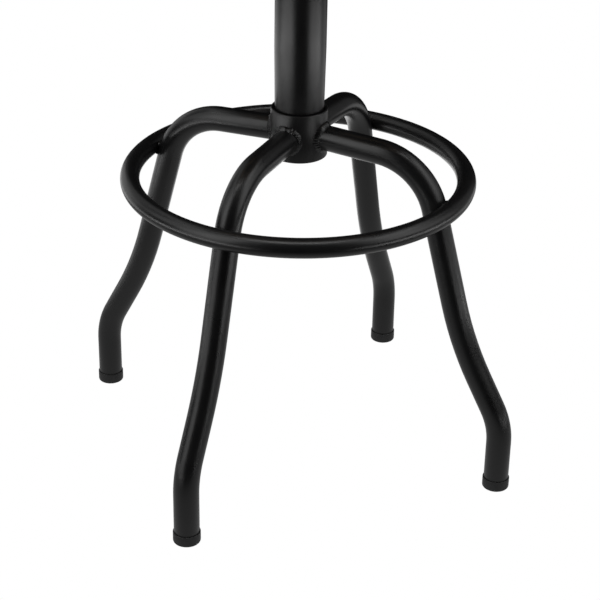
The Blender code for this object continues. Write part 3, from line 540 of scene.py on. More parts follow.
def bend_tube(name, radius, sides, start, slope, stages, last):
    """Draws a tube out in the XZ plane over straights and bends, with a last straight.

    A stage is a straight's length, the radius of the bend after it and the slope after that bend.
    """
    point = Vector(start)
    slope = math.radians(slope)
    piece = draw_circle(name, radius, sides, location=point, rotation=(0, math.pi / 2 + slope, 0))
    for length, bend_radius, after in stages:
        heading = Vector((math.cos(slope), 0, -math.sin(slope)))
        draw_out(heading * length)
        point += heading * length
        angle = math.radians(after) - slope
        inwards = Vector((-math.sin(slope), 0, -math.cos(slope))) * math.copysign(bend_radius, angle)
        centre = point + inwards
        steps = math.ceil(abs(math.degrees(angle)) / BEND_STEP)
        bpy.ops.mesh.spin(steps=steps, angle=-angle, center=centre, axis=(0, 1, 0))
        point = centre + Matrix.Rotation(angle, 3, "Y") @ (point - centre)
        slope += angle
    heading = Vector((math.cos(slope), 0, -math.sin(slope)))
    draw_out(heading * last)
    return piece


def leg_stages():
    """Returns the leg's straights and bends, from its start inside the hub."""
    return [
        (ROOT_LEN - LEG_START, KNEE_RADIUS, SHIN_SLOPE),
        (SHIN_LEN, SWEEP_RADIUS, CALF_SLOPE),
        (CALF_LEN, ANKLE_RADIUS, ANKLE_SLOPE),
    ]


# Places that follow from the frame
HUB_LOW, HUB_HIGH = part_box("hub_sleeve")
HUB_RADIUS = HUB_HIGH.x
ROOT_Z = HUB_LOW.z + HUB_DROP
COLUMN_LOW, COLUMN_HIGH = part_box("column_tube")
COLUMN_RADIUS = COLUMN_HIGH.x
TAPER_TOP = HUB_HIGH.z + TAPER_SHOW
LEG_FOOT_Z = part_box("leg_front_left")[0].z
RING_LOW, RING_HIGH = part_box("foot_ring")
RING_TUBE = (RING_HIGH.z - RING_LOW.z) / 2
RING_Z = (RING_LOW.z + RING_HIGH.z) / 2
SOCKET_LOW, SOCKET_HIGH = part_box("taper_socket")
PIVOT = (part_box("lever_pivot_pin")[0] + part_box("lever_pivot_pin")[1]) / 2
PIVOT.y = 0.0
PIVOT_ACROSS = Matrix.Translation(PIVOT) @ Matrix.Rotation(math.pi / 2, 4, "X")
BOARD_LOW, BOARD_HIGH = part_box("seat_board")
WIDEST_Z = BOARD_HIGH.z + GAP + CUSHION_SIDE


def column_radius(z):
    """Returns the column's outer radius at a height: straight above, tapered into the hub."""
    return COLUMN_RADIUS - COLUMN_TAPER * max(0.0, TAPER_TOP - z)


def add_camera():
    """Adds the camera at the photographed view."""
    data = bpy.data.cameras.new("camera")
    data.lens = CAMERA_LENS
    data.sensor_width = CAMERA_SENSOR
    camera = bpy.data.objects.new("camera", data)
    bpy.context.scene.collection.objects.link(camera)
    stand = Matrix.Translation((0, -CAMERA_DISTANCE, CAMERA_HEIGHT))
    aim = turned_about(-CAMERA_YAW) @ Matrix.Rotation(math.radians(90 - CAMERA_PITCH), 4, "X")
    camera.matrix_world = turned_about(CAMERA_TURN) @ stand @ aim @ turned_about(CAMERA_ROLL)
    bpy.context.scene.camera = camera


add_camera()


def new_group(name, inputs, outputs):
    """Starts a shader node group and returns it with its inner input and output sockets."""
    tree = bpy.data.node_groups.new(name, "ShaderNodeTree")
    for label, kind, value in inputs:
        socket = tree.interface.new_socket(label, in_out="INPUT", socket_type="NodeSocket" + kind)
        socket.default_value = value
    for label, kind in outputs:
        tree.interface.new_socket(label, in_out="OUTPUT", socket_type="NodeSocket" + kind)
    return tree, tree.nodes.new("NodeGroupInput").outputs, tree.nodes.new("NodeGroupOutput").inputs


def add_node(tree, kind, settings=None, **inputs):
    """Adds a shader node; an input is a value, or a socket to link from."""
    node = tree.nodes.new("ShaderNode" + kind)
    for key, value in (settings or {}).items():
        setattr(node, key, value)
    for key, value in inputs.items():
        socket = node.inputs[key.replace("_", " ")]
        if isinstance(value, bpy.types.NodeSocket):
            tree.links.new(value, socket)
        else:
            socket.default_value = value
    return node


def scaled_place(tree, place, size):
    """Returns the place counted in units of a size."""
    share = tree.nodes.new("ShaderNodeMath")
    share.operation = "DIVIDE"
    share.inputs[0].default_value = 1.0
    tree.links.new(size, share.inputs[1])
    scaled = add_node(tree, "VectorMath", {"operation": "SCALE"}, Vector=place, Scale=share.outputs[0])
    return scaled.outputs[0]


PLACE = ("Place", "Vector", (0, 0, 0))


def relief_group(name, size):
    """Starts a relief's group; returns it, the place in units of its size and the socket for its height."""
    tree, given, out = new_group(name, [PLACE, ("Size", "Float", size)], [("Height", "Float")])
    return tree, scaled_place(tree, given["Place"], given["Size"]), out["Height"]


def drift_group():
    """Slow change over the surface between two values, for tone and gloss."""
    tree, given, out = new_group(
        "drift",
        [PLACE, ("Size", "Float", 0.05), ("Low", "Float", 0.0), ("High", "Float", 1.0)],
        [("Value", "Float")],
    )
    place = scaled_place(tree, given["Place"], given["Size"])
    cloud = add_node(tree, "TexNoise", Vector=place, Scale=1.0, Detail=4.0)
    spread = add_node(tree, "MapRange", Value=cloud.outputs[0], From_Min=CLOUD_LOW, From_Max=CLOUD_HIGH,
                      To_Min=given["Low"], To_Max=given["High"])
    tree.links.new(spread.outputs[0], out["Value"])
    return tree


def peel_group():
    """Fine pebbled skin of a sprayed or moulded surface."""
    tree, place, height = relief_group("peel", 0.001)
    skin = add_node(tree, "TexNoise", Vector=place, Scale=1.0, Detail=2.0)
    tree.links.new(skin.outputs[0], height)
    return tree


def vinyl_grain_group():
    """Embossed vinyl: small rounded cells with creases between them."""
    tree, place, height = relief_group("vinyl_grain", 0.0016)
    warp = add_node(tree, "TexNoise", Vector=place, Scale=GRAIN_WARP, Detail=2.0)
    bent = add_node(tree, "VectorMath", {"operation": "ADD"}, Vector=place)
    tree.links.new(warp.outputs[1], bent.inputs[1])
    cells = add_node(tree, "TexVoronoi", {"feature": "DISTANCE_TO_EDGE"}, Vector=bent.outputs[0], Scale=1.0)
    domes = add_node(tree, "MapRange", {"interpolation_type": "SMOOTHSTEP"},
                     Value=cells.outputs["Distance"], From_Min=0.0, From_Max=GRAIN_CREASE,
                     To_Min=0.0, To_Max=1.0)
    tree.links.new(domes.outputs[0], height)
    return tree


def streak_group(name, stretch):
    """Long fine streaks: drawn metal along its length, or the fibres of wood."""
    tree, place, height = relief_group(name, 0.001)
    drawn = add_node(tree, "VectorMath", {"operation": "MULTIPLY"}, Vector=place)
    drawn.inputs[1].default_value = stretch
    fibre = add_node(tree, "TexNoise", Vector=drawn.outputs[0], Scale=1.0, Detail=5.0)
    tree.links.new(fibre.outputs[0], height)
    return tree


DRIFT = drift_group()
PEEL = peel_group()
VINYL_GRAIN = vinyl_grain_group()
DRAWN_METAL = streak_group("drawn_metal", (1.0, 1.0, 0.02))
WOOD_FIBRE = streak_group("wood_fibre", (0.03, 1.0, 1.0))


def make_finish(name, dark, light, gloss, drift, relief, size, depth, metallic=0.0):
    """Makes a finish: tone and roughness drift over the surface, and a relief group raises its skin.

    gloss is the lowest and highest roughness and drift the size of the cloudiness; size and depth are those
    of the relief.
    """
    finish = bpy.data.materials.new(name)
    finish.use_nodes = True
    tree = finish.node_tree
    shader = tree.nodes["Principled BSDF"]
    shader.inputs["Metallic"].default_value = metallic
    place = tree.nodes.new("ShaderNodeTexCoord").outputs["Object"]
    tone = add_node(tree, "Group", {"node_tree": DRIFT}, Place=place, Size=drift)
    blend = add_node(tree, "ValToRGB", Fac=tone.outputs["Value"])
    blend.color_ramp.elements[0].color = (*dark, 1.0)
    blend.color_ramp.elements[1].color = (*light, 1.0)
    tree.links.new(blend.outputs["Color"], shader.inputs["Base Color"])
    sheen = add_node(tree, "Group", {"node_tree": DRIFT}, Place=place, Size=drift / SHEEN_FINENESS,
                     Low=gloss[0], High=gloss[1])
    tree.links.new(sheen.outputs["Value"], shader.inputs["Roughness"])
    skin = add_node(tree, "Group", {"node_tree": relief}, Place=place, Size=size)
    bump = add_node(tree, "Bump", Strength=1.0, Distance=depth, Height=skin.outputs["Height"])
    tree.links.new(bump.outputs["Normal"], shader.inputs["Normal"])
    return finish


def make_plywood():
    """Makes plywood: fibres along X that also carry the colour."""
    finish = make_finish("plywood", (0.42, 0.27, 0.14), (0.66, 0.47, 0.28), (0.55, 0.72), 0.03,
                         WOOD_FIBRE, 0.0016, 0.0002)
    tree = finish.node_tree
    fibre = next(node for node in tree.nodes if node.type == "GROUP" and node.node_tree == WOOD_FIBRE)
    blend = next(node for node in tree.nodes if node.type == "VALTORGB")
    tree.links.new(fibre.outputs["Height"], blend.inputs["Fac"])
    return finish


POWDER_COAT = make_finish("black_powder_coat", (0.0050, 0.0050, 0.0053), (0.0080, 0.0080, 0.0083),
                          (0.27, 0.33), 0.06, PEEL, 0.0011, 0.00006)
HUB_COAT = make_finish("black_hub_coat", (0.0095, 0.0095, 0.0098), (0.0140, 0.0140, 0.0143),
                       (0.31, 0.39), 0.03, PEEL, 0.0010, 0.00007)
COLUMN_PAINT = make_finish("black_column_paint", (0.0060, 0.0060, 0.0063), (0.0085, 0.0085, 0.0088),
                           (0.28, 0.33), 0.08, PEEL, 0.0009, 0.00004)
WELD_COAT = make_finish("black_weld_coat", (0.0045, 0.0045, 0.0048), (0.0080, 0.0080, 0.0083),
                        (0.22, 0.34), 0.004, PEEL, 0.0008, 0.00012)
BLACK_PLASTIC = make_finish("black_plastic", (0.0090, 0.0090, 0.0095), (0.0150, 0.0150, 0.0155),
                            (0.42, 0.52), 0.01, PEEL, 0.0005, 0.00006)
VINYL = make_finish("black_vinyl", (0.0100, 0.0100, 0.0105), (0.0170, 0.0168, 0.0168),
                    (0.36, 0.48), 0.05, VINYL_GRAIN, 0.0013, 0.00016)
ZINC = make_finish("zinc_plate", (0.46, 0.47, 0.49), (0.66, 0.66, 0.66),
                   (0.26, 0.40), 0.004, PEEL, 0.0006, 0.00003, 1.0)
BRIGHT_STEEL = make_finish("bright_steel", (0.50, 0.50, 0.51), (0.64, 0.64, 0.65),
                           (0.18, 0.28), 0.01, DRAWN_METAL, 0.0002, 0.00001, 1.0)
SPRING_STEEL = make_finish("spring_steel", (0.10, 0.10, 0.11), (0.20, 0.20, 0.21),
                           (0.28, 0.42), 0.003, PEEL, 0.0004, 0.00002, 1.0)
PISTON_ALLOY = make_finish("piston_alloy", (0.60, 0.60, 0.61), (0.74, 0.74, 0.75),
                           (0.34, 0.46), 0.006, DRAWN_METAL, 0.0003, 0.00001, 1.0)
CAGE_BRASS = make_finish("cage_brass", (0.60, 0.42, 0.16), (0.76, 0.57, 0.26),
                         (0.26, 0.38), 0.004, PEEL, 0.0004, 0.00001, 1.0)
NYLON = make_finish("natural_nylon", (0.68, 0.66, 0.60), (0.80, 0.79, 0.74),
                    (0.38, 0.50), 0.006, PEEL, 0.0005, 0.00002)
RUBBER = make_finish("black_rubber", (0.012, 0.012, 0.012), (0.026, 0.026, 0.026),
                     (0.70, 0.86), 0.005, PEEL, 0.0004, 0.00005)
FOAM = make_finish("seat_foam", (0.72, 0.67, 0.52), (0.86, 0.82, 0.69),
                   (0.85, 0.95), 0.02, PEEL, 0.0012, 0.0006)
PLYWOOD = make_plywood()
THREAD = make_finish("black_thread", (0.014, 0.014, 0.015), (0.028, 0.028, 0.029),
                     (0.45, 0.6), 0.001, PEEL, 0.0002, 0.00004)


def add_hub():
    """Adds the hub collar: rounded rims, a chamfered mouth and the tapered bore for the column."""
    low = column_radius(HUB_LOW.z) + GAP
    mouth = column_radius(HUB_HIGH.z) + GAP
    hub = turn("hub_collar", [
        (HUB_RADIUS, HUB_HIGH.z),
        (HUB_RADIUS, HUB_LOW.z),
        (low, HUB_LOW.z),
        (mouth, HUB_HIGH.z - HUB_MOUTH),
        (mouth + HUB_MOUTH, HUB_HIGH.z),
    ])
    round_edges(hub, HUB_EDGE)
    settle(hub, HUB_COAT, "base", "powder_coat", "hub_sleeve")


def add_legs():
    """Adds the four bent leg tubes, with their walls, coped to the hub."""
    slope = math.radians(ROOT_SLOPE)
    start = (LEG_START * math.cos(slope), 0, ROOT_Z - LEG_START * math.sin(slope))
    foot_length = leg_end_z(start[2]) - LEG_FOOT_Z
    leg = bend_tube("leg_tube", LEG_RADIUS, TUBE_SIDES, start, ROOT_SLOPE, leg_stages(), foot_length)
    close_piece(leg)
    apply_modifier(leg, "SOLIDIFY", thickness=LEG_WALL, offset=-1.0, use_even_offset=True)
    cope_low, cope_high = HUB_LOW.z - COPE_REACH, HUB_HIGH.z + COPE_REACH
    cut(leg, turn_rod("hub_space", HUB_RADIUS, cope_low, cope_high, TURNED_SIDES))
    round_edges(leg, TUBE_LIP, angle=CUT_ANGLE)
    for corner, azimuth in LEG_AZIMUTHS.items():
        tube = copy_to(leg, "leg_tube_" + corner, turned_about(azimuth))
        settle(tube, POWDER_COAT, "base", "powder_coat", "leg_" + corner)
    bpy.data.objects.remove(leg)


def leg_end_z(start_z):
    """Returns the height at which the leg's last bend ends."""
    z = start_z
    slope = math.radians(ROOT_SLOPE)
    for length, radius, after in leg_stages():
        after = math.radians(after)
        bend = math.copysign(radius, after - slope)
        z -= length * math.sin(slope) + bend * (math.cos(slope) - math.cos(after))
        slope = after
    return z


def add_foot_ring():
    """Adds the foot ring: its tube's section spun once round the column."""
    place = (RING_RADIUS, 0, RING_Z)
    ring = draw_circle("foot_ring_tube", RING_TUBE, TUBE_SIDES, place, (math.pi / 2, 0, 0))
    bpy.ops.mesh.spin(steps=RING_STEPS, angle=2 * math.pi, center=(0, 0, 0), axis=(0, 0, 1))
    close_piece(ring)
    settle(ring, POWDER_COAT, "base", "powder_coat", "foot_ring")


def bead(share, lumps, seed):
    """Returns how wide a weld bead is at a share of its length: overlapping scallops of uneven size."""
    drift_layer, strength_layer, swell_layer = WELD_LAYERS
    drift = WELD_DRIFT * uneven(share, WELD_DRIFT_RATE, seed, drift_layer)
    scallop = math.cos(math.tau * (lumps * share + drift))
    strength = WELD_STRENGTH + uneven(share, WELD_STRENGTH_RATE, seed, strength_layer)
    swell = uneven(share * lumps, WELD_UNEVEN_RATE, seed, swell_layer)
    return 1.0 + WELD_RIPPLE * scallop * strength + WELD_UNEVEN * swell


def lay_bead(weld, path, lumps, seed):
    """Gives a plain tube of weld its scallops and its rough skin.

    path returns the bead's centre beside a point, the share of its length there and how thin it is.
    """
    for vertex in weld.data.vertices:
        centre, share, taper = path(vertex.co)
        grain = noise.noise(vertex.co / WELD_GRAIN + Vector((seed, 0, 0)))
        swell = taper * (bead(share, lumps, seed) + WELD_ROUGH * grain)
        vertex.co = centre + (vertex.co - centre) * swell


def draw_torus(name, radius, thickness, steps, location=(0, 0, 0), rotation=(0, 0, 0)):
    """Adds a plain ring of weld."""
    bpy.ops.object.select_all(action="DESELECT")
    bpy.ops.mesh.primitive_torus_add(major_radius=radius, minor_radius=thickness, major_segments=steps,
                                     minor_segments=WELD_SIDES, location=location, rotation=rotation)
    return close_piece(start_piece(name))


def add_hub_welds():
    """Adds the bead round each leg's root: a fillet in the corner, bent onto the hub."""
    middle = LEG_RADIUS - HUB_WELD_SINK
    inside = LEG_RADIUS - HUB_WELD_ROOT

    def path(place):
        angle = math.atan2(place.y, place.z)
        return Vector((0, math.sin(angle), math.cos(angle))) * middle, angle / math.tau + 0.5, 1.0

    slope = Matrix.Rotation(math.radians(ROOT_SLOPE), 4, "Y")
    for number, (corner, azimuth) in enumerate(LEG_AZIMUTHS.items()):
        weld = draw_torus("hub_weld_" + corner, middle, HUB_WELD, HUB_WELD_STEPS,
                          rotation=(0, math.pi / 2, 0))
        lay_bead(weld, path, HUB_WELD_LUMPS, number)
        for vertex in weld.data.vertices:
            place = vertex.co
            place.yz *= max(1.0, inside / place.yz.length)
            reach = max(-HUB_WELD_ROOT, place.x - HUB_WELD_SINK)
            place.x = reach + math.sqrt(HUB_RADIUS ** 2 - place.y ** 2)
        tidy_points(weld)
        put(weld, turned_about(azimuth) @ Matrix.Translation((0, 0, ROOT_Z)) @ slope)
        settle(weld, WELD_COAT, "base", "powder_coat")


def ring_touch():
    """Returns the leg's place beside the foot ring, as a matrix: X points to the ring, Z along the leg."""
    slope = math.radians(ROOT_SLOPE)
    knee = Vector((ROOT_LEN * math.cos(slope) - KNEE_RADIUS * math.sin(slope),
                   ROOT_Z - ROOT_LEN * math.sin(slope) - KNEE_RADIUS * math.cos(slope)))
    reach = Vector((RING_RADIUS, RING_Z)) - knee
    lean = math.atan2(reach.x, reach.y)
    centre = knee + KNEE_RADIUS * reach.normalized()
    return Matrix.Translation((centre.x, 0, centre.y)) @ Matrix.Rotation(lean - math.pi / 2, 4, "Y")


def ring_weld_path(place, reach, half, height):
    """Returns a ring weld's centre beside a point, the share of its length there and how thin it is."""
    angle = math.atan2(place.y, place.x)
    centre = Vector((reach * math.cos(angle), reach * math.sin(angle), height))
    taper = math.sqrt(max(WELD_TIP, 1.0 - (angle / half) ** 2))
    return centre, angle / half / 2 + 0.5, taper


def add_ring_welds():
    """Adds the two short beads that hold the foot ring to each leg, above and below the line of touch."""
    half = math.radians(RING_WELD_ARC / 2)
    reach = LEG_RADIUS + RING_WELD * RING_WELD_STAND
    touch = ring_touch()
    for number, (corner, azimuth) in enumerate(LEG_AZIMUTHS.items()):
        for side, height in (("upper", RING_WELD_OFFSET), ("lower", -RING_WELD_OFFSET)):
            place = (reach * math.cos(half), -reach * math.sin(half), height)
            weld = draw_circle(f"ring_weld_{side}_{corner}", RING_WELD, WELD_SIDES, place,
                               (math.pi / 2, 0, -half))
            bpy.ops.mesh.spin(steps=RING_WELD_STEPS, angle=-2 * half, center=(0, 0, 0), axis=(0, 0, 1))
            fill_ends()
            close_piece(weld)
            lay_bead(weld, lambda spot: ring_weld_path(spot, reach, half, height), RING_WELD_LUMPS,
                     number + height)
            put(weld, turned_about(azimuth) @ touch)
            settle(weld, WELD_COAT, "base", "powder_coat")


def add_glides():
    """Adds the four plastic glides: a rounded flange under the tube and a stem inside it."""
    low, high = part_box("foot_glide_front_left")
    radius = (high.x - low.x) / 2
    flange = LEG_FOOT_Z - GAP
    core = LEG_RADIUS - LEG_WALL - GLIDE_STEM_PLAY
    glide = turn("glide", [
        *arc((radius - GLIDE_EDGE, GLIDE_EDGE), GLIDE_EDGE, -90, 0, GLIDE_EDGE_STEPS),
        *arc((radius - GLIDE_RIM, flange - GLIDE_RIM), GLIDE_RIM, 0, 90, GLIDE_RIM_STEPS),
        (core, flange),
        (core, high.z),
    ], SMALL_SIDES, capped=True)
    for corner in LEG_AZIMUTHS:
        low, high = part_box("foot_glide_" + corner)
        middle = (low + high) / 2
        copy = copy_to(glide, "glide_" + corner, Matrix.Translation((middle.x, middle.y, 0)))
        settle(copy, BLACK_PLASTIC, "base", "black_plastic", "foot_glide_" + corner)
    bpy.data.objects.remove(glide)


def add_column():
    """Adds the column's outer tube: straight above, tapered into the hub, with a rolled-in lower edge."""
    low, high = COLUMN_LOW.z, COLUMN_HIGH.z
    lip = low + COLUMN_LIP_HEIGHT
    column = turn("column_outer_tube", [
        (COLUMN_RADIUS, high),
        (COLUMN_RADIUS, TAPER_TOP),
        (column_radius(low), low),
        (column_radius(low) - COLUMN_LIP, low),
        (column_radius(lip) - COLUMN_LIP, lip),
        (column_radius(lip) - COLUMN_WALL, lip),
        (COLUMN_RADIUS - COLUMN_WALL, TAPER_TOP),
        (COLUMN_RADIUS - COLUMN_WALL, high),
    ])
    round_edges(column, COLUMN_EDGE)
    settle(column, COLUMN_PAINT, "base", "column_paint", "column_tube")


def add_guide_bush():
    """Adds the plastic bush in the column's mouth, with its rounded flange."""
    low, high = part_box("guide_bush")
    skirt = COLUMN_RADIUS - COLUMN_WALL - GAP
    slide = TUBE_RADIUS + RUNNING_GAP
    web = COLUMN_HIGH.z - BUSH_FLANGE
    bush = turn("guide_bush_moulding", [
        (COLUMN_RADIUS - GAP, high.z - GAP),
        (COLUMN_RADIUS - GAP, COLUMN_HIGH.z + GAP),
        (skirt, COLUMN_HIGH.z + GAP),
        (skirt, low.z),
        (skirt - BUSH_WALL, low.z),
        (skirt - BUSH_WALL, web),
        (slide + BUSH_WALL, web),
        (slide + BUSH_WALL, low.z),
        (slide, low.z),
        (slide, high.z),
        (COLUMN_RADIUS - BUSH_WALL, high.z),
    ])
    round_edges(bush, BUSH_EDGE)
    settle(bush, BLACK_PLASTIC, "base", "black_plastic", "guide_bush")


def tube_radius(z):
    """Returns the pressure tube's outer radius at a height: its top is tapered for the socket."""
    return TUBE_RADIUS - SOCKET_TAPER * max(0.0, z - SOCKET_LOW.z)


def add_pressure_tube():
    """Adds the pressure tube, tapered at the top, with the bore of the valve pin in its solid head."""
    low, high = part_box("pressure_tube")
    pin_low, pin_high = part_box("valve_pin")
    pin_bore = pin_high.x + GAP
    head = high.z - VALVE_BLOCK
    tube = turn("pressure_tube_drawn", [
        (tube_radius(high.z), high.z),
        (TUBE_RADIUS, SOCKET_LOW.z),
        (TUBE_RADIUS, low.z),
        (TUBE_LIP_RADIUS, low.z),
        (TUBE_LIP_RADIUS, low.z + TUBE_LIP_HEIGHT),
        (TUBE_RADIUS - TUBE_WALL, low.z + TUBE_LIP_HEIGHT),
        (TUBE_RADIUS - TUBE_WALL, head),
        (pin_bore, head),
        (pin_bore, high.z),
    ], SMALL_SIDES)
    round_edges(tube, TUBE_EDGE)
    settle(tube, COLUMN_PAINT, "seat", "column_paint", "pressure_tube")
    pin = turn("valve_button", [
        (pin_high.x - VALVE_EDGE, pin_low.z),
        (pin_high.x, pin_low.z + VALVE_EDGE),
        *arc((pin_high.x - VALVE_EDGE, pin_high.z - VALVE_EDGE), VALVE_EDGE, 0, 90, VALVE_EDGE_STEPS),
    ], SMALL_SIDES, capped=True)
    settle(pin, BRIGHT_STEEL, "valve", "bright_steel", "valve_pin")


def add_socket():
    """Adds the socket on the tube's taper, with the neck that is welded into the channel."""
    low, high = SOCKET_LOW, SOCKET_HIGH
    shoulder = high.z - SOCKET_NECK
    socket = turn("taper_socket_turned", [
        (high.x - SOCKET_STEP, high.z),
        (high.x - SOCKET_STEP, shoulder),
        (high.x, shoulder),
        (high.x, low.z + SOCKET_EDGE),
        (high.x - SOCKET_EDGE, low.z),
        (tube_radius(low.z) + GAP, low.z),
        (tube_radius(high.z) + GAP, high.z),
    ])
    round_edges(socket, SHEET_EDGE)
    settle(socket, POWDER_COAT, "seat", "powder_coat", "taper_socket")
    middle = high.x - SOCKET_WELD * SOCKET_WELD_SINK
    centre_z = shoulder - SOCKET_WELD * SOCKET_WELD_DROP

    def path(place):
        angle = math.atan2(place.y, place.x)
        centre = Vector((middle * math.cos(angle), middle * math.sin(angle), centre_z))
        return centre, angle / math.tau + 0.5, 1.0

    weld = draw_torus("socket_weld", middle, SOCKET_WELD, HUB_WELD_STEPS, location=(0, 0, centre_z))
    lay_bead(weld, path, SOCKET_WELD_LUMPS, len(LEG_AZIMUTHS))
    settle(weld, WELD_COAT, "seat", "powder_coat")


def add_channel():
    """Adds the channel: a strip folded up into walls and out into flanges, with its holes."""
    low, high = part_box("mechanism_channel")
    half = CHANNEL_WIDTH / 2 - CHANNEL_SHEET / 2
    base = low.z + CHANNEL_SHEET / 2
    rise = high.z - low.z - CHANNEL_SHEET
    reach = high.y - half
    channel = draw_plane("mechanism_channel_folded", 2 * high.x, 2 * half, (0, 0, base))
    for side in (-1, 1):
        select_where(channel, "EDGE", lambda edge: all(end.co.y * side > half - GAP for end in edge.verts))
        draw_out((0, 0, rise))
        draw_out((0, side * reach, 0))
    select_where(channel, "EDGE", lambda edge: len(edge.link_faces) == 2)
    bpy.ops.mesh.bevel(offset=CHANNEL_FOLD + CHANNEL_SHEET / 2, segments=FOLD_SEGMENTS, affect="EDGES")
    close_piece(channel)
    apply_modifier(channel, "SOLIDIFY", thickness=CHANNEL_SHEET, offset=0.0, use_even_offset=True)
    neck = SOCKET_HIGH.x - SOCKET_STEP + GAP
    neck_top = low.z + 2 * CHANNEL_SHEET
    cut(channel, turn_rod("neck_hole", neck, low.z - CHANNEL_SHEET, neck_top, TURNED_SIDES))
    hole = turn_rod("pin_hole", PIVOT_RADIUS + GAP, -CHANNEL_WIDTH, CHANNEL_WIDTH)
    cut(channel, put(hole, PIVOT_ACROSS))
    round_edges(channel, SHEET_EDGE, FINE_SEGMENTS, CUT_ANGLE)
    settle(channel, POWDER_COAT, "seat", "powder_coat", "mechanism_channel")


def spun_clip(name, inner, outer, low, high):
    """Starts a flat split ring about Z, spun from its square section."""
    middle = ((inner + outer) / 2, 0, (low + high) / 2)
    clip = draw_plane(name, outer - inner, high - low, middle, (math.pi / 2, 0, 0))
    bpy.ops.mesh.spin(steps=SMALL_SIDES, angle=math.radians(CLIP_ARC), center=(0, 0, 0), axis=(0, 0, 1))
    close_piece(clip)
    return round_edges(clip, CLIP_EDGE, FINE_SEGMENTS, CUT_ANGLE)


def add_pivot():
    """Adds the pivot pin across the channel and the clip in its groove."""
    face = CHANNEL_WIDTH / 2 + GAP
    clip_far = face + GAP + CLIP_THICKNESS
    pin = turn("pivot_pin_turned", [
        (PIVOT_HEAD_RADIUS, -face - PIVOT_HEAD),
        (PIVOT_HEAD_RADIUS, -face),
        (PIVOT_RADIUS, -face),
        (PIVOT_RADIUS, face),
        (PIVOT_RADIUS - CLIP_GROOVE, face),
        (PIVOT_RADIUS - CLIP_GROOVE, clip_far + GAP),
        (PIVOT_RADIUS, clip_far + GAP),
        (PIVOT_RADIUS, clip_far + PIVOT_HEAD),
    ], SMALL_SIDES, capped=True)
    round_edges(pin, PIN_EDGE)
    across = Matrix.Translation(PIVOT) @ Matrix.Rotation(-math.pi / 2, 4, "X")
    settle(put(pin, across), ZINC, "seat", "zinc_plate", "lever_pivot_pin")
    clip_bore = PIVOT_RADIUS - CLIP_GROOVE + GAP
    clip = spun_clip("pivot_clip_ring", clip_bore, PIVOT_HEAD_RADIUS, face + GAP, clip_far)
    settle(put(clip, across), SPRING_STEEL, "seat", "spring_steel", "pivot_clip")


def add_lever():
    """Adds the release lever, bent from rod with an eye at its pivot, and the grip pushed onto its end."""
    stages = [
        (LEVER_TOE + PIVOT.x + LEVER_STRAIGHT, LEVER_BEND_RADIUS, LEVER_BEND),
        (LEVER_SLOPE_LEN, LEVER_BEND_RADIUS, 0.0),
    ]
    toe = (-LEVER_TOE, 0, PIVOT.z)
    lever = bend_tube("lever_bar", LEVER_RADIUS, SMALL_SIDES, toe, 0.0, stages, LEVER_END_LEN)
    fill_ends()
    close_piece(lever)
    eye = turn_rod("eye", EYE_RADIUS, -EYE_WIDTH / 2, EYE_WIDTH / 2)
    round_edges(eye, PIN_EDGE)
    cut(lever, put(eye, PIVOT_ACROSS), "UNION")
    hole = turn_rod("eye_hole", PIVOT_RADIUS + RUNNING_GAP, -EYE_WIDTH, EYE_WIDTH)
    cut(lever, put(hole, PIVOT_ACROSS))
    round_edges(lever, CLIP_EDGE, FINE_SEGMENTS, CUT_ANGLE)
    settle(lever, POWDER_COAT, "lever", "powder_coat", "lever_rod")
    low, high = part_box("lever_grip")
    length = high.x - low.x
    radius = (high.y - low.y) / 2
    bored = LEVER_RADIUS + GAP
    grip = turn("lever_grip_moulding", [
        *arc((radius - GRIP_EDGE, length - GRIP_EDGE), GRIP_EDGE, 90, 0, GRIP_EDGE_STEPS),
        (radius - GRIP_WAIST, length * GRIP_WAIST_AT),
        (radius, GRIP_FLARE),
        (GRIP_NECK_RADIUS, 0.0),
        (bored, 0.0),
        (bored, GRIP_BORE),
        (bored / 2, GRIP_BORE + bored / 2),
    ], SMALL_SIDES, capped=True)
    round_edges(grip, GRIP_ROUND, angle=GRIP_ROUND_ANGLE)
    middle = (low + high) / 2
    put(grip, Matrix.Translation((low.x, 0, middle.z)) @ Matrix.Rotation(math.pi / 2, 4, "Y"))
    settle(grip, BLACK_PLASTIC, "lever", "black_plastic", "lever_grip")


def bolt_places():
    """Returns where the four seat bolts stand, by number."""
    places = {}
    for number in range(1, BOLT_COUNT + 1):
        low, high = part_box(f"seat_bolt_{number}")
        places[number] = Matrix.Translation(((low.x + high.x) / 2, (low.y + high.y) / 2, 0))
    return places


def drill(piece, radius, low, high):
    """Drills the four bolt holes through a piece."""
    for place in bolt_places().values():
        cut(piece, put(turn_rod("drill", radius, low, high), place))
    return piece


def add_seat_plate():
    """Adds the pressed plate under the seat: rounded corners and edges, four bolt holes."""
    low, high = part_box("seat_plate")
    bpy.ops.object.select_all(action="DESELECT")
    bpy.ops.mesh.primitive_cube_add(size=1.0, location=(low + high) / 2)
    bpy.context.object.scale = high - low
    plate = start_piece("seat_plate_pressed")
    select_where(plate, "EDGE", lambda edge: abs(edge.verts[0].co.z - edge.verts[1].co.z) > GAP)
    bpy.ops.mesh.bevel(offset=PLATE_CORNER, segments=CORNER_SEGMENTS, affect="EDGES")
    close_piece(plate)
    drill(plate, BOLT_RADIUS + BOLT_CLEARANCE, low.z - GAP, high.z + GAP)
    round_edges(plate, SHEET_EDGE, FINE_SEGMENTS, CUT_ANGLE)
    settle(plate, POWDER_COAT, "seat", "powder_coat", "seat_plate")


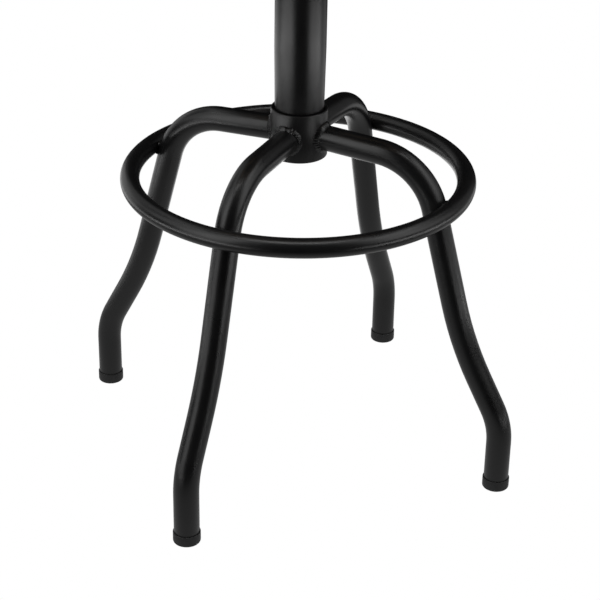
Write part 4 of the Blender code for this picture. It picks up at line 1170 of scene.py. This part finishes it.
def add_seat_board():
    """Adds the plywood disc with its tee-nut holes, counterbored for their flanges."""
    low, high = BOARD_LOW, BOARD_HIGH
    board = turn_rod("seat_board_plywood", high.x, low.z, high.z, TURNED_SIDES)
    round_edges(board, BOARD_EDGE)
    drill(board, BOLT_RADIUS + TEE_WALL + GAP, low.z - GAP, high.z + GAP)
    drill(board, TEE_FLANGE_RADIUS + GAP, high.z - TEE_FLANGE - 2 * GAP, high.z + GAP)
    settle(board, PLYWOOD, "seat", "plywood", "seat_board")


def add_seat_fasteners():
    """Adds the four button-head bolts, with their hexagon sockets, and the washers under them."""
    low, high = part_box("seat_bolt_1")
    washer_low, washer_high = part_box("seat_washer_1")
    seat = washer_low.z - GAP
    head = BOLT_HEAD_RADIUS
    bolt = turn("bolt", [
        (BOLT_RADIUS, high.z),
        (BOLT_RADIUS, seat),
        (head, seat),
        (head, seat - BOLT_RIM),
        *[(head * across, seat - BOLT_RIM - BOLT_CROWN * down) for across, down in BOLT_DOME],
        (BOLT_FLAT_RADIUS, low.z),
    ], SMALL_SIDES, capped=True)
    key = draw_circle("key", BOLT_SOCKET / 2, KEY_SIDES, (0, 0, low.z - BOLT_SOCKET_DEPTH))
    bpy.ops.mesh.edge_face_add()
    bpy.ops.mesh.extrude_region_move(TRANSFORM_OT_translate={"value": (0, 0, 2 * BOLT_SOCKET_DEPTH)})
    close_piece(key)
    cut(bolt, key)
    round_edges(bolt, CLIP_EDGE, FINE_SEGMENTS)
    washer_radius = (washer_high.x - washer_low.x) / 2
    washer_bore = BOLT_RADIUS + BOLT_CLEARANCE
    washer = turn("washer", [
        (washer_radius, washer_high.z),
        (washer_radius, washer_low.z),
        (washer_bore, washer_low.z),
        (washer_bore, washer_high.z),
    ], SMALL_SIDES)
    round_edges(washer, CLIP_EDGE, FINE_SEGMENTS)
    for number, place in bolt_places().items():
        copy = copy_to(bolt, f"seat_bolt_button_{number}", place)
        settle(copy, ZINC, "seat", "zinc_plate", f"seat_bolt_{number}")
        copy = copy_to(washer, f"seat_washer_round_{number}", place)
        settle(copy, ZINC, "seat", "zinc_plate", f"seat_washer_{number}")
    bpy.data.objects.remove(bolt)
    bpy.data.objects.remove(washer)


def crown_height(radius, grow):
    """Returns the height of the cushion's crown at a radius."""
    power = CUSHION_SQUARENESS
    share = min(1.0, radius / (SEAT_RADIUS + grow))
    return WIDEST_Z + (CUSHION_CROWN + grow) * (1.0 - share ** power) ** (1.0 / power)


def cushion_side(grow, tuck, start, steps):
    """Returns the cushion's (radius, height) points from a radius on its crown down to the board.

    It is larger than the foam by grow above, and by tuck at the board.
    """
    points = []
    power = 2.0 / CUSHION_SQUARENESS
    first = math.acos((start / (SEAT_RADIUS + grow)) ** (1.0 / power))
    for step in range(steps + 1):
        angle = first * (1.0 - step / steps)
        points.append(((SEAT_RADIUS + grow) * math.cos(angle) ** power,
                       WIDEST_Z + (CUSHION_CROWN + grow) * math.sin(angle) ** power))
    swell = SEAT_RADIUS - BOARD_HIGH.x
    for step in range(1, steps // 2 + 1):
        angle = math.pi * step / steps
        larger = grow + (tuck - grow) * 2 * step / steps
        radius = BOARD_HIGH.x + larger + swell * math.cos(angle)
        points.append((radius, WIDEST_Z - CUSHION_SIDE * math.sin(angle)))
    return points


def add_seat_foam():
    """Adds the crowned foam pad, which the cover hides."""
    profile = cushion_side(-FOAM_SLACK, -FOAM_SLACK, SEAT_RADIUS / FOAM_STEPS, FOAM_STEPS)
    foam = turn("seat_foam_pad", profile, capped=True)
    settle(foam, FOAM, "seat", "seat_foam", "seat_foam")


def swell_cover(cover):
    """Lets the cover swell as stuffed vinyl does, held along its seam and where the board backs it."""
    only(cover)
    held = cover.vertex_groups.new(name="held")
    start = [vertex.co.copy() for vertex in cover.data.vertices]
    for index, place in enumerate(start):
        on_seam = abs(place.xy.length - SEAM_RADIUS) < MERGE and place.z > WIDEST_Z
        if on_seam or place.z < BOARD_HIGH.z + 2 * GAP:
            held.add([index], 1.0, "REPLACE")
    cloth = cover.modifiers.new("cloth", "CLOTH")
    cloth.settings.vertex_group_mass = "held"
    cloth.settings.use_pressure = True
    cloth.settings.uniform_pressure_force = COVER_PRESSURE
    cloth.settings.tension_stiffness = COVER_STIFFNESS
    cloth.settings.compression_stiffness = COVER_STIFFNESS
    cloth.settings.effector_weights.gravity = 0.0
    for step in range(1, COVER_FRAMES + 1):
        bpy.context.scene.frame_set(step)
    bpy.ops.object.modifier_apply(modifier="cloth")
    bpy.context.scene.frame_set(1)
    for vertex, place in zip(cover.data.vertices, start):
        move = vertex.co - place
        if move.length > COVER_MOVE:
            vertex.co = place + move.normalized() * COVER_MOVE
    cover.vertex_groups.clear()


def add_seat_cover():
    """Adds the sewn vinyl cover: swollen over the foam, drawn in at the board and gathered under it."""
    grow = GAP + COVER_THICKNESS - COVER_START
    under = BOARD_LOW.z - GAP - COVER_THICKNESS
    edge = BOARD_HIGH.x + GAP + COVER_THICKNESS
    cover = draw_circle("seat_cover_vinyl", COVER_GRID, COVER_SIDES, (0, 0, crown_height(COVER_GRID, grow)))
    bpy.ops.mesh.fill_grid(span=COVER_SIDES // 4)
    select_rims()
    profile = cushion_side(grow, GAP + COVER_THICKNESS, COVER_GRID, COVER_STEPS)
    fold = [(SEAM_RADIUS + shift, dip) for shift, dip in SEAM_FOLD]
    seam = [(radius, crown_height(radius, grow) - dip) for radius, dip in fold]
    above = [point for point in profile if point[0] < seam[0][0] and point[1] > WIDEST_Z]
    below = [point for point in profile if point[0] > seam[-1][0] or point[1] <= WIDEST_Z]
    hem = [(edge - COVER_TUCK * step / HEM_STEPS, under) for step in range(1, HEM_STEPS + 1)]
    corner = arc((edge - COVER_ROUND, under + COVER_ROUND), COVER_ROUND, 0, -90, COVER_ROUND_STEPS)
    start = (COVER_GRID, profile[0][1])
    turn_in = (edge, BOARD_LOW.z + COVER_ROUND)
    draw_rings([start, *above[1:], *seam, *below, turn_in, *corner[1:], *hem[1:]])
    close_piece(cover)
    for vertex in cover.data.vertices:
        if vertex.co.xy.length < COVER_GRID - MERGE and vertex.co.z > WIDEST_Z:
            vertex.co.z = crown_height(vertex.co.xy.length, grow)
    set_order(cover)
    swell_cover(cover)
    apply_modifier(cover, "SUBSURF", levels=1, render_levels=1)
    for vertex in cover.data.vertices:
        if vertex.co.z < BOARD_LOW.z:
            angle = math.atan2(vertex.co.y, vertex.co.x)
            drawn = max(0.0, min(1.0, (edge - vertex.co.xy.length) / COVER_TUCK))
            drift = PLEAT_DRIFT * uneven(angle, PLEAT_DRIFT_RATE, PLEAT_DRIFT_ROW)
            wave = 0.5 + 0.5 * math.sin(angle * PLEATS + drift)
            vertex.co.z -= PLEAT_DEPTH * wave * drawn
    apply_modifier(cover, "SOLIDIFY", thickness=COVER_THICKNESS, offset=-1.0)
    settle(cover, VINYL, "seat", "black_vinyl", "seat_cover")
    return cover


def add_seam_stitches(cover):
    """Adds the row of stitches that holds the seam open, laid on the cover one by one."""
    half = STITCH_LENGTH / 2
    tip = (0, -half, -STITCH_WIRE)
    stitch = draw_circle("stitch", STITCH_WIRE * STITCH_TIP, STITCH_SIDES, tip, (math.pi / 2, 0, 0))
    for forward, rise, growth in STITCH_STAGES:
        draw_out((0, forward * half, rise * STITCH_WIRE))
        bpy.ops.transform.resize(value=(growth, 1, growth))
    fill_ends()
    close_piece(stitch)
    row = []
    for number in range(STITCH_COUNT):
        turned = turned_about(360.0 * number / STITCH_COUNT)
        above = turned @ Vector((STITCH_RADIUS, 0, CAD_BOX[1].z + STITCH_LENGTH))
        spot, normal = cover.ray_cast(above, Vector((0, 0, -1)))[1:3]
        facing = turned.to_3x3().inverted() @ normal
        tilt = Matrix.Rotation(math.atan2(facing.x, facing.z), 4, "Y")
        row.append(copy_to(stitch, "stitch_copy", Matrix.Translation(spot) @ turned @ tilt))
    bpy.data.objects.remove(stitch)
    for piece in row:
        piece.select_set(True)
    bpy.context.view_layer.objects.active = row[0]
    bpy.ops.object.join()
    name_piece(row[0], "seat_seam_stitches")
    settle(row[0], THREAD, "seat", "black_vinyl")


def add_staples(cover):
    """Adds the staples that hold the cover's hem to the board, pressed into its pleats."""
    under = min(vertex.co.z for vertex in cover.data.vertices)
    half = STAPLE_WIDTH / 2 - STAPLE_BEND
    staple = draw_circle("staple", STAPLE_WIRE, STAPLE_SIDES, (0, -half - STAPLE_BEND, STAPLE_LEG))
    draw_out((0, 0, STAPLE_BEND - STAPLE_LEG))
    for side, onward in ((-half, (0, 2 * half, 0)), (half, (0, 0, STAPLE_LEG - STAPLE_BEND))):
        bpy.ops.mesh.spin(steps=STAPLE_BEND_STEPS, angle=-math.pi / 2, center=(0, side, STAPLE_BEND),
                          axis=(1, 0, 0))
        draw_out(onward)
    fill_ends()
    close_piece(staple)
    for number in range(STAPLE_COUNT):
        sway, shift, lean = [uneven(number, rate, row) for rate, row in STAPLE_NOISE]
        angle = 360.0 * number / STAPLE_COUNT + STAPLE_SWAY * sway
        reach = HEM_RADIUS + STAPLE_INSET + STAPLE_SHIFT * shift
        leaning = Matrix.Rotation(math.radians(STAPLE_LEAN) * lean, 4, "Z")
        place = turned_about(angle) @ Matrix.Translation((reach, 0, under)) @ leaning
        copy = copy_to(staple, f"staple_{number + 1:02d}", place)
        settle(copy, ZINC, "seat", "zinc_plate")
    bpy.data.objects.remove(staple)


def make_floor_white():
    """Makes the floor: plain white to the eye, a softer pool of light to the stool, and clear from below."""
    finish = bpy.data.materials.new("studio_white")
    finish.use_nodes = True
    tree = finish.node_tree
    shader = tree.nodes["Principled BSDF"]
    shader.inputs["Base Color"].default_value = BLACK
    shader.inputs["Roughness"].default_value = 1.0
    shader.inputs["Specular IOR Level"].default_value = 0.0
    shader.inputs["Emission Color"].default_value = WHITE
    place = tree.nodes.new("ShaderNodeTexCoord").outputs["Object"]
    light = tree.nodes.new("ShaderNodeValue").outputs[0]
    light.default_value = 0.0
    for back, near, far, glow in FLOOR_POOLS:
        reach = add_node(tree, "VectorMath", {"operation": "DISTANCE"}, Vector=place)
        reach.inputs[1].default_value = turned_about(CAMERA_TURN) @ Vector((0, back, 0))
        pool = add_node(tree, "MapRange", {"interpolation_type": "SMOOTHSTEP"},
                        Value=reach.outputs["Value"], From_Min=near, From_Max=far,
                        To_Min=glow, To_Max=0.0)
        both = add_node(tree, "Math", {"operation": "ADD"})
        tree.links.new(light, both.inputs[0])
        tree.links.new(pool.outputs["Result"], both.inputs[1])
        light = both.outputs["Value"]
    seen = tree.nodes.new("ShaderNodeLightPath").outputs["Is Camera Ray"]
    strength = add_node(tree, "Mix", Factor=seen, B=FLOOR_SEEN)
    tree.links.new(light, strength.inputs["A"])
    tree.links.new(strength.outputs["Result"], shader.inputs["Emission Strength"])
    behind = tree.nodes.new("ShaderNodeNewGeometry").outputs["Backfacing"]
    clear = add_node(tree, "Math", {"operation": "SUBTRACT"})
    clear.inputs[0].default_value = 1.0
    tree.links.new(behind, clear.inputs[1])
    tree.links.new(clear.outputs["Value"], shader.inputs["Alpha"])
    return finish


def add_area_light(name, width, height, glow, matrix):
    """Adds a soft light of an even glow, which the camera doesn't see."""
    data = bpy.data.lights.new(name, "AREA")
    data.shape = "RECTANGLE"
    data.size = width
    data.size_y = height
    data.energy = AREA_POWER * width * height * glow
    light = bpy.data.objects.new(name, data)
    bpy.context.scene.collection.objects.link(light)
    light.matrix_world = matrix
    light.visible_camera = False


def add_studio():
    """Adds the floor, a surround that is white only to the eye, and the lights beside, below and above."""
    bpy.ops.object.select_all(action="DESELECT")
    bpy.ops.mesh.primitive_plane_add(size=FLOOR_SIZE, location=(0, 0, -FLOOR_DROP))
    floor = bpy.context.object
    floor.name = "studio_floor"
    floor.data.materials.append(make_floor_white())
    world = bpy.data.worlds.new("studio")
    bpy.context.scene.world = world
    world.use_nodes = True
    tree = world.node_tree
    dark = tree.nodes["Background"]
    dark.inputs["Color"].default_value = (*SURROUND_DARK, 1.0)
    white = add_node(tree, "Background", Color=WHITE)
    seen = tree.nodes.new("ShaderNodeLightPath").outputs["Is Camera Ray"]
    mix = tree.nodes.new("ShaderNodeMixShader")
    tree.links.new(seen, mix.inputs[0])
    tree.links.new(dark.outputs[0], mix.inputs[1])
    tree.links.new(white.outputs[0], mix.inputs[2])
    tree.links.new(mix.outputs[0], tree.nodes["World Output"].inputs["Surface"])
    upright = Matrix.Rotation(math.pi / 2, 4, "X")
    for name, azimuth, distance, low, width, height, glow in SOFT_BOXES:
        stand = Matrix.Translation((0, -distance, low + height / 2)) @ upright
        add_area_light(name, width, height, glow, turned_about(CAMERA_TURN + azimuth) @ stand)
    face_up = Matrix.Rotation(math.pi, 4, "X")
    for name, azimuth, distance, depth, width, glow in FLOOR_PATCHES:
        lie = Matrix.Translation((0, -distance, PATCH_LIFT)) @ face_up
        add_area_light(name, width, depth, glow, turned_about(CAMERA_TURN + azimuth) @ lie)
    above = turned_about(CAMERA_TURN) @ Matrix.Translation((0, 0, TOP_LIGHT_HEIGHT))
    add_area_light("soft_top", TOP_LIGHT_SIZE, TOP_LIGHT_SIZE, TOP_LIGHT_GLOW, above)


def finish_cad_nodes():
    """Gives every node that still shows the finish of its slot."""
    finishes = {
        "powder_coat": POWDER_COAT, "column_paint": COLUMN_PAINT, "bright_steel": BRIGHT_STEEL,
        "zinc_plate": ZINC, "spring_steel": SPRING_STEEL, "piston_alloy": PISTON_ALLOY,
        "cage_brass": CAGE_BRASS, "black_plastic": BLACK_PLASTIC, "natural_nylon": NYLON,
        "black_rubber": RUBBER, "plywood": PLYWOOD, "seat_foam": FOAM, "black_vinyl": VINYL,
    }
    for part in frame["record"]["subparts"]:
        node = frame["nodes"][part["node"]]
        node.data.materials.clear()
        node.data.materials.append(finishes[part["material_slot"]])


add_hub()
add_legs()
add_foot_ring()
add_hub_welds()
add_ring_welds()
add_glides()
add_column()
add_guide_bush()
add_pressure_tube()
add_socket()
add_channel()
add_pivot()
add_lever()
add_seat_plate()
add_seat_board()
add_seat_fasteners()
add_seat_foam()
cover = add_seat_cover()
add_seam_stitches(cover)
add_staples(cover)
finish_cad_nodes()
add_studio()
bpy.context.scene.view_settings.view_transform = "Standard"
